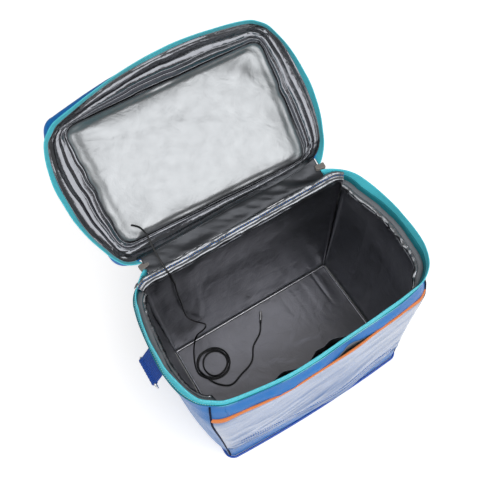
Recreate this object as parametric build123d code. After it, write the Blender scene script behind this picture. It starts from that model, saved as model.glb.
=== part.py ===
# Soft insulated carrier for vaccines and samples, with its lid folded open.
# Millimetres, +Z up, the front pocket towards -Y, the lid hinge towards +Y.
# The origin is the middle of the underside of the base panel.
import os
from math import cos, pi, radians, sin, tan

from build123d import *

# ---------------------------------------------------------------- body sizes
base_width = 330.0
base_depth = 212.0
base_corner_r = 13.0
base_front_bow = 6.0         # the loaded front bellies out a little, even at the base
zip_line_z = 305.0           # height where the two halves of the zip meet
rim_splay = 13.0             # the mouth is wider than the base by this much each side
rim_back_splay = 1.0
rim_half_width = base_width / 2 + rim_splay
rim_front_y = base_depth / 2
rim_back_y = base_depth / 2 + rim_back_splay
rim_corner_r = 41.0
rim_side_bow = 18.0          # how far each side of the mouth bellies out
rim_front_bow = 10.0

# wall layers, outside to inside
shell_t = 1.2
foam_t = 8.0
lining_t = 0.8
wall_t = shell_t + foam_t + lining_t
base_shell_t = 2.0           # stiffened bottom panel
base_foam_t = 10.0
wall_top_z = 291.0           # top of the front and side walls
back_top_z = 302.0           # the back wall stands higher, up to the hinge

# ---------------------------------------------------------------- zip
tape_t = 0.8
tape_width = 14.0
tape_lap = 2.0               # how far the tape laps over the shell
coil_w = 2.4
coil_h = 1.3
coil_gap = 0.6               # between the closed halves of the coil
zip_end_x = rim_half_width - rim_corner_r + 2.0   # where the zip stops beside the hinge
tape_end_w = 12.0            # the short tabs that carry the tape to the sliders
tape_end_lap = 1.5           # how far they reach into the slider channel

# ---------------------------------------------------------------- lid sizes
lid_height = 42.0            # zip line to the outside of the top
lid_inset = 2.0              # the lid is cut a little narrower than the mouth
lid_back_reach = 6.0         # and reaches behind it, over the hinge
lid_taper = 11.0             # how much the top panel is smaller than the lid edge
lid_front_taper = 2.0
lid_back_taper = 7.0
lid_half_width = rim_half_width - lid_inset
lid_front_y = rim_front_y
lid_back_y = rim_back_y + lid_back_reach
lid_corner_r = 37.0
lid_side_bow = 22.0
lid_front_bow = 16.0
lid_top_half_width = lid_half_width - lid_taper
lid_top_front_y = lid_front_y - lid_front_taper
lid_top_back_y = lid_back_y - lid_back_taper
lid_top_corner_r = 16.0
lid_band_foam_t = 5.0
lid_foam_t = 8.6
lid_open_angle = 145.3
hinge_reach = 15.5           # the cloth hinge creases this far behind the mouth
hinge_y = rim_back_y + hinge_reach
hinge_z = zip_line_z + 1.0
hinge_skew = 0.6             # the cloth hinge creases slightly askew
flap_t = 1.2
clearance = 0.3              # between pieces that move past each other
hair = 0.05                  # between pieces that lie against each other
over_cut = 0.01              # how far a cut passes the face it opens

# ---------------------------------------------------------------- trim
piping_d = 3.6
piping_stand_off = 1.1       # the lid piping clears the slope of the lid band
floor_welt_d = 3.0
binding_lip = 8.0
binding_t = 0.8
back_fold_t = 1.2
back_fold_lip = 9.0
pocket_bottom_z = 26.0
pocket_top_z = 272.0
pocket_t = 1.0
pocket_fullness = 10.0       # how far the pocket stands off at the mouth line
pocket_binding_w = 5.0
pocket_binding_t = 0.6

# ---------------------------------------------------------------- strap tabs
webbing_w = 40.0
webbing_t = 1.8
tab_length = 30.0
tab_drop_angle = 52.0        # below level, the way the tab hangs off the wall
tab_tuck = 1.0               # how far the tab starts inside the wall line
tab_eye_gap = 0.1
tab_top_z = 286.0
ring_wire_d = 4.0
ring_reach = 29.0
ring_corner_r = 3.5

# ---------------------------------------------------------------- sliders
slider_l = 15.0
slider_w = 9.0
slider_nose_w = 6.0
slider_plate_t = 1.2
slider_plate_r = 1.4
slider_edge_r = 0.5
slider_shoulder = 0.35       # where the shield starts to narrow, as a share of half its length
slider_post_r = 1.6
slider_post_back = 0.55      # where the post stands, as a share of half the length
slider_gap = 2.6
slider_x = zip_end_x + 8.0
slider_behind = 0.9          # slider centre in front of the hinge line
slider_turn = 8.0
slider_z = 305.4             # middle of its channel, so the closed lid passes over the tape ends
pull_l = 32.0
pull_w = 8.0
pull_arm_l = 7.0
pull_arm_w = 1.5
pull_t = 1.6
pull_taper = 1.2
pull_corner_r = 1.1
pull_slot_w = 2.4
pull_pin_d = 2.0
pin_gap = 0.1
bridge_h = 4.6
bridge_l = 10.0
bridge_w = 2.6
bridge_t = 1.3
bridge_r = 2.0
bridge_eye_l = 6.6

# ---------------------------------------------------------------- handle
handle_w = 30.0
handle_t = 2.0
handle_span = 150.0
handle_rise = 30.0
handle_foot = 34.0

# ---------------------------------------------------------------- thermometer
meter_inset_x = 49.0         # from the side of the top panel
meter_inset_y = 38.0         # from its back edge
meter_x = meter_inset_x - lid_top_half_width
meter_y = lid_top_back_y - meter_inset_y
meter_w = 46.0
meter_d = 27.0
meter_bezel_lip = 1.6
meter_bezel_t = 1.8
meter_bezel_r = 2.5
meter_bezel_chamfer = 0.7
meter_case_t = 1.4
meter_depth = 8.2            # of the case below the top panel
display_w = 34.0
display_d = 15.0
display_t = 1.2
display_gap = 0.2
display_sunk = 1.0           # how far the window lies below the bezel
board_t = 1.0
cell_d = 11.6
cell_h = 3.4
gland_x = meter_x - 17.0     # where the sensor cable leaves the case
gland_y = meter_y - 2.0

# ---------------------------------------------------------------- sensor cable
cable_d = 2.8
probe_d = 4.8
probe_l = 22.0
sleeve_d = 3.8
sleeve_l = 5.0
cable_hole_d = 4.0
hank_outer_r = 31.0
hank_inner_r = 20.5
hank_h = 6.0
floor_corner_x = -base_width / 2     # the cable is laid out from the back left corner of the floor
floor_corner_y = base_depth / 2
hank_x = floor_corner_x + 57.0
hank_y = floor_corner_y - 64.0
probe_heading = 56.0         # degrees from +X, lying on the floor

coil_split = coil_gap / 2
floor_z = base_shell_t + base_foam_t + lining_t
cable_rest = cable_d / 2 + hair      # above the floor
probe_start = (floor_corner_x + 162.5, floor_corner_y - 44.5, floor_z + probe_d / 2 + hair)
lid_top_z = zip_line_z + lid_height
wedge_reach = 60.0
slab_half = 400.0


# ---------------------------------------------------------------- outlines
def bow_radius(chord, bow):
    return (chord**2 / 4 + bow**2) / (2 * bow)


def bowed_outline(half_width, front_y, back_y, corner, side_bow, front_bow, z, grow=0.0):
    # one closed outline at height z: the front and sides may bow outward, the back is straight
    depth = front_y + back_y
    middle_y = (back_y - front_y) / 2
    spare_x = grow + 2 * side_bow
    spare_y = grow + 2 * front_bow
    low_y = -front_y - spare_y
    high_y = back_y + grow
    face = Pos(0, (low_y + high_y) / 2) * Rectangle(2 * (half_width + spare_x), high_y - low_y)
    if side_bow:
        radius = bow_radius(depth, side_bow)
        for sign in (-1, 1):
            face = face & Pos(sign * (half_width + side_bow - radius), middle_y) * Circle(radius + grow)
    if front_bow:
        radius = bow_radius(2 * half_width, front_bow)
        face = face & Pos(0, radius - front_y - front_bow) * Circle(radius + grow)
    face = fillet(face.vertices(), corner + grow)
    return Pos(0, 0, z) * face.face()


def base_outline(grow=0.0, z=0.0):
    half_depth = base_depth / 2
    return bowed_outline(base_width / 2, half_depth, half_depth, base_corner_r, 0, base_front_bow, z, grow)


def rim_outline(grow=0.0, z=zip_line_z, extra_front_bow=0.0):
    front_bow = rim_front_bow + extra_front_bow
    return bowed_outline(
        rim_half_width, rim_front_y, rim_back_y, rim_corner_r, rim_side_bow, front_bow, z, grow
    )


def lid_outline(grow=0.0, z=zip_line_z):
    return bowed_outline(
        lid_half_width, lid_front_y, lid_back_y, lid_corner_r, lid_side_bow, lid_front_bow, z, grow
    )


def lid_top_outline(grow=0.0, z=lid_top_z):
    return bowed_outline(
        lid_top_half_width, lid_top_front_y, lid_top_back_y, lid_top_corner_r, 0, 0, z, grow
    )


def slab(bottom, top):
    height = top - bottom
    return Pos(0, 0, bottom + height / 2) * Box(2 * slab_half, 2 * slab_half, height)


def body_form(grow, extra_front_bow=0.0):
    # the body from base to zip line, grown or shrunk evenly all round
    return loft([base_outline(grow), rim_outline(grow, zip_line_z, extra_front_bow)], ruled=True)


def body_layer(outer, inner, bottom, top):
    # a layer of the wall, from `outer` to `inner` millimetres inside the outer face
    return (body_form(-outer) - body_form(-inner)) & slab(bottom, top)


def lid_form(grow, bottom=zip_line_z):
    return loft([lid_outline(grow, bottom), lid_top_outline(grow)], ruled=True)


def wedge(side):
    # the space that one wall takes, cut on the diagonals through the corner seams
    def section(half_width, front_y, back_y, z):
        reach = wedge_reach
        corner = {
            "front_left": (-half_width, -front_y, -1, -1),
            "front_right": (half_width, -front_y, 1, -1),
            "back_right": (half_width, back_y, 1, 1),
            "back_left": (-half_width, back_y, -1, 1),
        }
        names = {
            "front": ("front_left", "front_right"),
            "right": ("front_right", "back_right"),
            "back": ("back_right", "back_left"),
            "left": ("back_left", "front_left"),
        }[side]
        outer = [(corner[n][0] + corner[n][2] * reach, corner[n][1] + corner[n][3] * reach) for n in names]
        inner = [(corner[n][0] - corner[n][2] * reach, corner[n][1] - corner[n][3] * reach) for n in names]
        return Pos(0, 0, z) * make_face(Polyline(outer[0], outer[1], inner[1], inner[0], close=True))

    low = section(base_width / 2, base_depth / 2, base_depth / 2, 0)
    high = section(rim_half_width, rim_front_y, rim_back_y, zip_line_z)
    return loft([low, high], ruled=True)


sides = ("front", "back", "left", "right")
wedges = {side: wedge(side) for side in sides}


def wall_top(side):
    return back_top_z if side == "back" else wall_top_z


def open_lid(shape):
    # swings a shape from the closed lid to where the lid lies open
    axis = Axis((0, hinge_y, hinge_z), (cos(radians(hinge_skew)), sin(radians(hinge_skew)), 0))
    return shape.rotate(axis, -lid_open_angle)


def open_lid_point(x, y, z):
    return open_lid(Line((x, y, z), (x, y, z + 1))) @ 0


# ---------------------------------------------------------------- outer shell
def shell_wall(side):
    return body_layer(0, shell_t, 0, wall_top(side)) & wedges[side]


def shell_base():
    inside = body_form(-shell_t) & slab(0, base_shell_t)
    return inside


def corner_middle(face, sign_x, sign_y):
    # the middle of the round at one corner of an outline
    def reach(edge):
        middle = edge @ 0.5
        return sign_x * middle.X + sign_y * middle.Y

    return max(face.outer_wire().edges(), key=reach) @ 0.5


def corner_seams(diameter):
    # round cords down the four corner seams, touching the shell from outside
    stand_off = piping_d / 2 + hair
    cords = []
    for sign_x in (-1, 1):
        for sign_y in (-1, 1):
            low = corner_middle(base_outline(stand_off), sign_x, sign_y)
            high = corner_middle(rim_outline(stand_off), sign_x, sign_y)
            length = (high - low).length
            cord = extrude(Plane(origin=low, z_dir=high - low) * Circle(diameter / 2), length)
            cords.append(cord)
    return cords


def corner_piping():
    top = zip_line_z - tape_width - clearance
    return [cord & slab(2 * piping_d, top) for cord in corner_seams(piping_d)]


def base_piping():
    path = base_outline(piping_d / 2 + clearance, piping_d / 2).outer_wire()
    return ring_sweep(path, piping_d)


def ring_sweep(path, diameter):
    start = path @ 0
    plane = Plane(origin=start, z_dir=path % 0)
    return sweep(plane * Circle(diameter / 2), path=path)


# ---------------------------------------------------------------- insulation
def foam_wall(side):
    return body_layer(shell_t, shell_t + foam_t, base_shell_t, wall_top(side)) & wedges[side]


def foam_base():
    return body_form(-shell_t - foam_t) & slab(base_shell_t, base_shell_t + base_foam_t)


# ---------------------------------------------------------------- lining
def lining_wall(side):
    return body_layer(shell_t + foam_t, wall_t, floor_z - lining_t, wall_top(side)) & wedges[side]


def lining_floor():
    return body_form(-wall_t) & slab(floor_z - lining_t, floor_z)


def floor_welt():
    # the raised welt round the edge of the floor
    rise = floor_welt_d / 2
    path = base_outline(-wall_t - rise - clearance, floor_z + rise).outer_wire()
    return ring_sweep(path, floor_welt_d)


def three_side_cut():
    # leaves out the back wall between the ends of the zip
    return Pos(0, rim_back_y, zip_line_z) * Box(2 * zip_end_x, 2 * (rim_corner_r - 1), 200)


def rim_binding():
    # grey facing that caps the front and side walls and turns down inside
    cap = body_form(0) - body_form(-wall_t)
    cap = cap & slab(wall_top_z, wall_top_z + binding_t)
    lip = body_form(-wall_t) - body_form(-wall_t - binding_t)
    lip = lip & slab(wall_top_z - binding_lip, wall_top_z + binding_t)
    return (cap + lip) - wedges["back"]


def back_rim_fold():
    # bright foil folded over the top of the back wall, from inside to outside
    outer = body_form(0) - body_form(-wall_t)
    cap = outer & slab(back_top_z, back_top_z + back_fold_t)
    lip = body_form(-wall_t) - body_form(-wall_t - back_fold_t)
    lip = lip & slab(back_top_z - back_fold_lip, back_top_z + back_fold_t)
    return (cap + lip) & wedges["back"]


# ---------------------------------------------------------------- front pocket
def pocket_form(grow):
    return body_form(grow, pocket_fullness)


def pocket_skin(inner, outer, bottom, top):
    skin = pocket_form(outer) - pocket_form(inner)
    margin = piping_d
    half = rim_half_width - margin
    keep = Pos(0, -rim_front_y, (bottom + top) / 2) * Box(2 * half, 2 * rim_corner_r, top - bottom)
    return (skin & wedges["front"] & keep) - corner_seams(piping_d + clearance)


def pocket_panel():
    return pocket_skin(0, pocket_t, pocket_bottom_z, pocket_top_z)


def pocket_binding():
    # folded tape over the mouth of the pocket
    low = pocket_top_z - pocket_binding_w
    outside = pocket_skin(pocket_t, pocket_t + pocket_binding_t, low, pocket_top_z)
    cap = pocket_skin(0, pocket_t + pocket_binding_t, pocket_top_z, pocket_top_z + pocket_binding_t)
    return outside + cap


# ---------------------------------------------------------------- zip
def zip_tape_ends():
    # the short tabs that carry the tape across to the two sliders
    tabs = []
    for sign in (-1, 1):
        y_low = rim_back_y + tape_t / 2
        y_high = slider_middle_y(sign) - slider_w / 2 + tape_end_lap
        z = slider_z - slider_gap / 2 + tape_t / 2
        tabs.append(Pos(sign * slider_x, (y_low + y_high) / 2, z) * Box(tape_end_w, y_high - y_low, tape_t))
    return tabs


def body_zip_tape():
    bottom = zip_line_z - tape_width
    band = extrude(rim_outline(tape_t, bottom) - rim_outline(0, bottom), tape_width)
    return (band - three_side_cut()) + zip_tape_ends()


def half_coil(outline, bottom):
    ring = extrude(outline(0, bottom) - outline(-coil_w, bottom), coil_h)
    return ring - three_side_cut()


def body_zip_coil():
    return half_coil(rim_outline, zip_line_z - coil_h - coil_split)


def lid_zip_coil():
    return open_lid(half_coil(lid_outline, zip_line_z + coil_split))


def lid_zip_tape():
    bottom = zip_line_z + coil_split
    band = extrude(lid_outline(tape_t, bottom) - lid_outline(0, bottom), tape_width)
    return open_lid(band - three_side_cut())


def slider_body():
    # two shield-shaped plates on a post, with a bridge for the puller underneath
    half = slider_l / 2
    shoulder = half * slider_shoulder
    outline = Polyline(
        (-half, -slider_w / 2),
        (shoulder, -slider_w / 2),
        (half, -slider_nose_w / 2),
        (half, slider_nose_w / 2),
        (shoulder, slider_w / 2),
        (-half, slider_w / 2),
        close=True,
    )
    plate_face = make_face(outline)
    plate_face = fillet(plate_face.vertices(), slider_plate_r)
    upper = extrude(plate_face, slider_plate_t)
    upper = fillet(upper.faces().sort_by(Axis.Z)[-1].edges(), slider_edge_r)
    lower = Pos(0, 0, -slider_gap - slider_plate_t) * extrude(plate_face, slider_plate_t)
    post = Pos(-half * slider_post_back, 0, -slider_gap / 2) * Cylinder(slider_post_r, slider_gap)
    under = -slider_gap - slider_plate_t
    bridge = Pos(0, 0, under - bridge_h / 2) * Box(bridge_l, bridge_w, bridge_h)
    bridge = fillet(bridge.edges().filter_by(Axis.Y).group_by(Axis.Z)[0], bridge_r)
    eye_h = bridge_h - bridge_t
    eye = Pos(0, 0, under - eye_h / 2) * Box(bridge_eye_l, 2 * bridge_w, eye_h)
    return upper + lower + post + (bridge - eye)


def slider_middle_y(sign):
    return hinge_y + sign * slider_x * tan(radians(hinge_skew)) - slider_behind


def slider_place(sign):
    turn = slider_turn if sign < 0 else 180 - slider_turn
    return Pos(sign * slider_x, slider_middle_y(sign), slider_z + slider_gap / 2) * Rot(0, 0, turn)


def slider(sign):
    return slider_place(sign) * slider_body()


def pull_pin_drop():
    return slider_gap + slider_plate_t + bridge_h - bridge_t - pull_pin_d / 2 - pin_gap


def zip_pull(sign):
    # stamped tab: a pin through the bridge, two short arms and a tapered grip
    drop = pull_pin_drop()
    pin = Rot(90, 0, 0) * Cylinder(pull_pin_d / 2, pull_w)
    grip = make_face(
        Polyline(
            (-pull_w / 2, -pull_arm_l),
            (pull_w / 2, -pull_arm_l),
            (pull_w / 2 - pull_taper, -pull_l),
            (-pull_w / 2 + pull_taper, -pull_l),
            close=True,
        )
    )
    grip = fillet(grip.vertices(), pull_corner_r)
    slot = Pos(0, -pull_l * 0.62) * SlotOverall(pull_l * 0.4, pull_slot_w, rotation=90)
    arm_l = pull_arm_l + pull_pin_d
    arm = Pos(0, (pull_pin_d - arm_l) / 2) * Rectangle(pull_arm_w, arm_l)
    arms = [Pos(side * (pull_w - pull_arm_w) / 2, 0) * arm for side in (-1, 1)]
    sheet = grip - slot + arms
    blade = Plane.YZ * sheet
    blade = extrude(blade, pull_t / 2, both=True)
    return slider_place(sign) * (Pos(0, 0, -drop) * (blade + pin))


def hinge_flap():
    # cloth strip from the top of the back wall to the edge of the open lid
    profiles = []
    for sign in (-1, 1):
        x = sign * (zip_end_x - 2)
        edge = open_lid_point(x, lid_back_y, zip_line_z + coil_split + coil_h)
        wall = Vector(x, rim_back_y + flap_t / 2, back_top_z - 1)
        tip = Vector(x, edge.Y - clearance, edge.Z)
        run = (tip - wall).normalized()
        up = Vector(0, -run.Z, run.Y) * flap_t
        corners = [wall, tip, tip + up, wall + up]
        profiles.append(make_face(Polyline(*corners, close=True)))
    return loft(profiles, ruled=True)


# ---------------------------------------------------------------- lid
def lid_band():
    bottom = zip_line_z + tape_width
    shell = lid_form(0) - lid_form(-shell_t)
    hinge_side = Pos(0, lid_back_y, zip_line_z) * Box(2 * zip_end_x, 2 * (lid_corner_r - 1), 200)
    upper = shell & slab(bottom - tape_lap, lid_top_z - shell_t)
    lower = shell & slab(zip_line_z + coil_split + coil_h, bottom) & hinge_side
    return open_lid(upper + lower)


def lid_top():
    return open_lid(lid_form(0) & slab(lid_top_z - shell_t, lid_top_z) - meter_well())


def lid_piping():
    path = lid_top_outline(piping_d / 2 + piping_stand_off, lid_top_z - shell_t / 2).outer_wire()
    return open_lid(ring_sweep(path, piping_d))


def meter_well():
    return Pos(meter_x, meter_y, lid_top_z - meter_depth / 2) * Box(meter_w, meter_d, meter_depth + over_cut)


def cable_hole():
    return Pos(gland_x, gland_y, lid_top_z - lid_height / 2) * Cylinder(cable_hole_d / 2, lid_height)


def lid_foam():
    top = lid_top_z - shell_t
    sheet = lid_form(-shell_t - clearance) & slab(top - lid_foam_t, top)
    return open_lid(sheet - meter_well() - cable_hole())


def lid_band_foam():
    top = lid_top_z - shell_t - lid_foam_t
    outer = shell_t + clearance
    ring = lid_form(-outer) - lid_form(-outer - lid_band_foam_t)
    return open_lid(ring & slab(zip_line_z + tape_width / 2, top))


def lid_lining_panel():
    top = lid_top_z - shell_t - lid_foam_t
    inset = shell_t + clearance + lid_band_foam_t
    sheet = lid_form(-inset) & slab(top - lining_t, top)
    return open_lid(sheet - cable_hole())


def lid_lining_gusset():
    # foil that runs from the zip up the inside of the band to the lining panel
    top = lid_top_z - shell_t - lid_foam_t - lining_t
    inset = shell_t + clearance + lid_band_foam_t
    ring = lid_form(-inset) - lid_form(-inset - lining_t)
    bottom = zip_line_z + tape_width / 2
    wall = ring & slab(bottom, top)
    hem = (lid_form(-shell_t - clearance) - lid_form(-inset - lining_t)) & slab(bottom - lining_t, bottom)
    return open_lid(wall + hem)


def carry_handle():
    # webbing strap across the middle of the lid, sewn flat at both ends
    half = handle_span / 2
    foot_end = half + handle_foot
    low = handle_t / 2
    arch = ThreePointArc((-half, low), (0, low + handle_rise), (half, low))
    path = Line((-foot_end, low), (-half, low)) + arch + Line((half, low), (foot_end, low))
    strip = trace(path, handle_t)
    strap = extrude(Plane.XZ * strip, handle_w / 2, both=True)
    return open_lid(Pos(0, 0, lid_top_z) * strap)


# ---------------------------------------------------------------- thermometer
def in_meter(shape):
    return open_lid(Pos(meter_x, meter_y, lid_top_z) * shape)


def meter_case():
    # open-topped tray with a bezel that laps on the lid, and a cable gland
    bezel = Pos(0, 0, meter_bezel_t / 2) * Box(
        meter_w + 2 * meter_bezel_lip, meter_d + 2 * meter_bezel_lip, meter_bezel_t
    )
    bezel = fillet(bezel.edges().filter_by(Axis.Z), meter_bezel_r)
    bezel = chamfer(bezel.faces().sort_by(Axis.Z)[-1].edges(), meter_bezel_chamfer)
    tray_gap = clearance / 2
    tray = Pos(0, 0, -meter_depth / 2) * Box(meter_w - 2 * tray_gap, meter_d - 2 * tray_gap, meter_depth)
    room = Pos(0, 0, -meter_depth / 2 + meter_case_t) * Box(
        meter_w - 2 * meter_case_t, meter_d - 2 * meter_case_t, meter_depth
    )
    window = Pos(0, 0, meter_bezel_t / 2) * Box(display_w, display_d, 2 * meter_bezel_t)
    bore = Pos(gland_x - meter_x, gland_y - meter_y, -meter_depth) * Cylinder(cable_d / 2, 4 * meter_case_t)
    return in_meter((bezel + tray) - room - window - bore)


def meter_display():
    z = meter_bezel_t - display_sunk - display_t / 2
    return in_meter(Pos(0, 0, z) * Box(display_w - 2 * display_gap, display_d - 2 * display_gap, display_t))


def meter_board():
    z = -meter_depth + meter_case_t + cell_h + board_t / 2
    return in_meter(Pos(0, 0, z) * Box(meter_w - 4 * meter_case_t, meter_d - 4 * meter_case_t, board_t))


def meter_cells():
    z = -meter_depth + meter_case_t + cell_h / 2
    return [in_meter(Pos(x, 0, z) * Cylinder(cell_d / 2, cell_h)) for x in (0, cell_d + 1)]


# ---------------------------------------------------------------- strap tabs
# the side wall where the tab is sewn, at the middle of the side
tab_root_x = base_width / 2 + (rim_half_width + rim_side_bow - base_width / 2) * tab_top_z / zip_line_z


def tab_section():
    # webbing folded over the ring bar: two layers lie flat together up to a round eye
    inner_r = ring_wire_d / 2 + tab_eye_gap
    layers = Pos(tab_length / 2, 0) * Rectangle(tab_length, 2 * webbing_t)
    eye = Pos(tab_length, 0) * Circle(inner_r + webbing_t)
    return layers + eye - Pos(tab_length, 0) * Circle(inner_r)


def side_tab(sign):
    loop = extrude(Plane.XZ * tab_section(), webbing_w / 2, both=True)
    loop = Rot(0, tab_drop_angle, 0) * loop
    loop = Pos(tab_root_x - tab_tuck, 0, tab_top_z) * loop
    loop = loop - body_form(0)
    if sign < 0:
        loop = mirror(loop, about=Plane.YZ)
    return loop


def ring_bar_point(sign):
    drop = radians(tab_drop_angle)
    x = tab_root_x - tab_tuck + tab_length * cos(drop)
    return sign * x, tab_top_z - tab_length * sin(drop)


def d_ring(sign):
    # bent wire: a straight bar inside the tab, rounded corners and a half-round bow
    x, z = ring_bar_point(sign)
    half = (webbing_w + ring_wire_d) / 2 + 1.0
    corner = ring_corner_r
    bend = corner * (1 - cos(pi / 4))
    arm_end = half - ring_reach
    bar = Line((-half + corner, 0), (half - corner, 0))
    right_turn = ThreePointArc((half - corner, 0), (half - bend, -bend), (half, -corner))
    right_arm = Line((half, -corner), (half, arm_end))
    bow = ThreePointArc((half, arm_end), (0, -ring_reach), (-half, arm_end))
    left_arm = Line((-half, arm_end), (-half, -corner))
    left_turn = ThreePointArc((-half, -corner), (-half + bend, -bend), (-half + corner, 0))
    outline = Plane.YZ * Wire([bar, right_turn, right_arm, bow, left_arm, left_turn])
    return Pos(x, 0, z) * ring_sweep(outline, ring_wire_d)


# ---------------------------------------------------------------- sensor cable
def laid_out(offsets, x, y, z):
    return [(x + dx, y + dy, z + dz) for dx, dy, dz in offsets]


def upper_cable_points():
    # out of the lid lining, over the hinge, down the back wall and into the hank
    start = open_lid_point(gland_x, gland_y, lid_top_z - meter_depth)
    clear = open_lid_point(gland_x, gland_y, lid_top_z - meter_depth - 8.0)
    over_hinge = [
        (34.9, 51.0, 16.0),
        (39.0, 40.2, 23.5),
        (41.7, 26.6, 24.0),
        (40.0, 5.9, 15.0),
        (39.8, -15.0, 7.0),
        (41.4, -30.0, 0.0),
    ]
    down_wall = [
        (43.2, -16.8, 278.2),
        (44.7, -17.0, 255.2),
        (43.8, -15.7, 223.2),
        (45.4, -16.6, 187.2),
        (45.1, -15.6, 153.2),
        (47.0, -16.6, 124.2),
        (55.0, -17.2, 100.2),
        (65.0, -18.0, 81.2),
        (75.0, -17.6, 58.2),
        (67.4, -18.0, 43.4),
        (53.4, -17.8, 41.2),
        (45.7, -20.0, 23.2),
        (37.5, -27.5, 7.2),
        (31.0, -39.5, cable_rest),
        (26.0, -53.0, cable_rest),
        (24.5, -67.0, cable_rest),
        (31.5, -77.5, cable_rest),
    ]
    over_hinge = laid_out(over_hinge, floor_corner_x, hinge_y, hinge_z)
    down_wall = laid_out(down_wall, floor_corner_x, floor_corner_y, floor_z)
    return [start, clear] + over_hinge + down_wall


def lower_cable_points():
    # from the hank across the floor to the probe
    across_floor = [
        (34.5, -80.0, cable_rest),
        (40.0, -94.5, cable_rest),
        (54.5, -109.5, cable_rest),
        (67.0, -112.5, cable_rest),
        (84.5, -105.5, cable_rest),
        (108.0, -99.5, cable_rest),
        (119.0, -90.5, cable_rest),
        (128.0, -74.0, cable_rest),
        (140.5, -66.5, cable_rest),
        (155.0, -58.0, cable_rest),
    ]
    return laid_out(across_floor, floor_corner_x, floor_corner_y, floor_z) + [probe_start]


def bend_radii(points):
    # each arc is as large as its two runs allow
    radii = []
    for before, here, after in zip(points, points[1:], points[2:]):
        first = here - before
        second = after - here
        turn = radians(first.get_angle(second))
        radii.append(0.45 * min(first.length, second.length) / tan(turn / 2))
    return radii


def cable_tube(points, name):
    points = [Vector(*p) if isinstance(p, tuple) else p for p in points]
    radii = bend_radii(points)
    path = FilletPolyline(*points, radius=radii)
    tube = sweep(Plane(origin=path @ 0, z_dir=path % 0) * Circle(cable_d / 2), path=path)
    section = pi * cable_d**2 / 4
    print(name, "length", round(path.length, 1), "smallest radius", round(min(radii), 1))
    print(name, "volume over section x length", round(tube.volume / (section * path.length), 4))
    return tube


def cable_hank():
    # outer shape of the loose turns that lie on the floor
    middle_r = (hank_outer_r + hank_inner_r) / 2
    profile = Pos(middle_r, 0, 0) * (Plane.XZ * Ellipse((hank_outer_r - hank_inner_r) / 2, hank_h / 2))
    return Pos(hank_x, hank_y, floor_z + hank_h / 2) * revolve(profile, Axis.Z)


def probe_piece(diameter, start_along, length, round_end):
    direction = Vector(cos(radians(probe_heading)), sin(radians(probe_heading)), 0)
    plane = Plane(origin=Vector(*probe_start) + direction * start_along, z_dir=direction)
    piece = extrude(plane * Circle(diameter / 2), length)
    if round_end:
        rims = piece.edges().filter_by(GeomType.CIRCLE)
        piece = fillet(rims.sort_by_distance(plane.origin + direction * length)[0], diameter * 0.35)
    return piece


def probe_sleeve():
    return probe_piece(sleeve_d, 0, sleeve_l, False)


def probe_tip():
    return probe_piece(probe_d, sleeve_l, probe_l - sleeve_l, True)


def write(name, shape):
    pieces = shape if isinstance(shape, list) else [shape]
    solids = [solid for piece in pieces for solid in piece.solids()]
    export_step(solids[0] if len(solids) == 1 else Compound(children=solids), f"parts/{name}.step")


def build_all():
    nodes = {"shell_base": shell_base()}
    for side in sides:
        nodes[f"shell_{side}"] = shell_wall(side)
        nodes[f"foam_{side}"] = foam_wall(side)
        nodes[f"lining_{side}"] = lining_wall(side)
    nodes["corner_piping"] = corner_piping()
    nodes["base_piping"] = base_piping()
    nodes["foam_base"] = foam_base()
    nodes["lining_floor"] = lining_floor()
    nodes["floor_welt"] = floor_welt()
    nodes["rim_binding"] = rim_binding()
    nodes["back_rim_fold"] = back_rim_fold()
    nodes["pocket_panel"] = pocket_panel()
    nodes["pocket_binding"] = pocket_binding()
    nodes["body_zip_tape"] = body_zip_tape()
    nodes["body_zip_coil"] = body_zip_coil()
    nodes["hinge_flap"] = hinge_flap()
    for name, sign in (("left", -1), ("right", 1)):
        nodes[f"slider_{name}"] = slider(sign)
        nodes[f"zip_pull_{name}"] = zip_pull(sign)
        nodes[f"strap_tab_{name}"] = side_tab(sign)
        nodes[f"d_ring_{name}"] = d_ring(sign)
    nodes["lid_top"] = lid_top()
    nodes["lid_band"] = lid_band()
    nodes["lid_piping"] = lid_piping()
    nodes["lid_foam"] = lid_foam()
    nodes["lid_band_foam"] = lid_band_foam()
    nodes["lid_lining_panel"] = lid_lining_panel()
    nodes["lid_lining_gusset"] = lid_lining_gusset()
    nodes["lid_zip_tape"] = lid_zip_tape()
    nodes["lid_zip_coil"] = lid_zip_coil()
    nodes["carry_handle"] = carry_handle()
    nodes["meter_case"] = meter_case()
    nodes["meter_display"] = meter_display()
    nodes["meter_board"] = meter_board()
    nodes["meter_cells"] = meter_cells()
    nodes["sensor_cable_upper"] = cable_tube(upper_cable_points(), "upper cable")
    nodes["sensor_cable_hank"] = cable_hank()
    nodes["sensor_cable_lower"] = cable_tube(lower_cable_points(), "lower cable")
    nodes["probe_sleeve"] = probe_sleeve()
    nodes["probe_tip"] = probe_tip()
    return nodes


os.makedirs("parts", exist_ok=True)
for node_name, node_shape in build_all().items():
    write(node_name, node_shape)
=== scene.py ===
import math

import bpy
import numpy as np
from mathutils import Matrix, Vector


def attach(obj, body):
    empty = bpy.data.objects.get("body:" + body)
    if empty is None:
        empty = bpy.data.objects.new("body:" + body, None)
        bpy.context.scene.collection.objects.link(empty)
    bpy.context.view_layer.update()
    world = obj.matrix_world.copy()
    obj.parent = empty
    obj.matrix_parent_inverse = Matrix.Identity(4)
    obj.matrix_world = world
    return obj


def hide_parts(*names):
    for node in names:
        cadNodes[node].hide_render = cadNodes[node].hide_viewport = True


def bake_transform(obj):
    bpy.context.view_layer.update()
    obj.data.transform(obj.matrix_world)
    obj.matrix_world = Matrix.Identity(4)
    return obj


# Soft insulated carrier with its lid open. Metres, +Z up, pocket towards -Y, hinge towards +Y.

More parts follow.
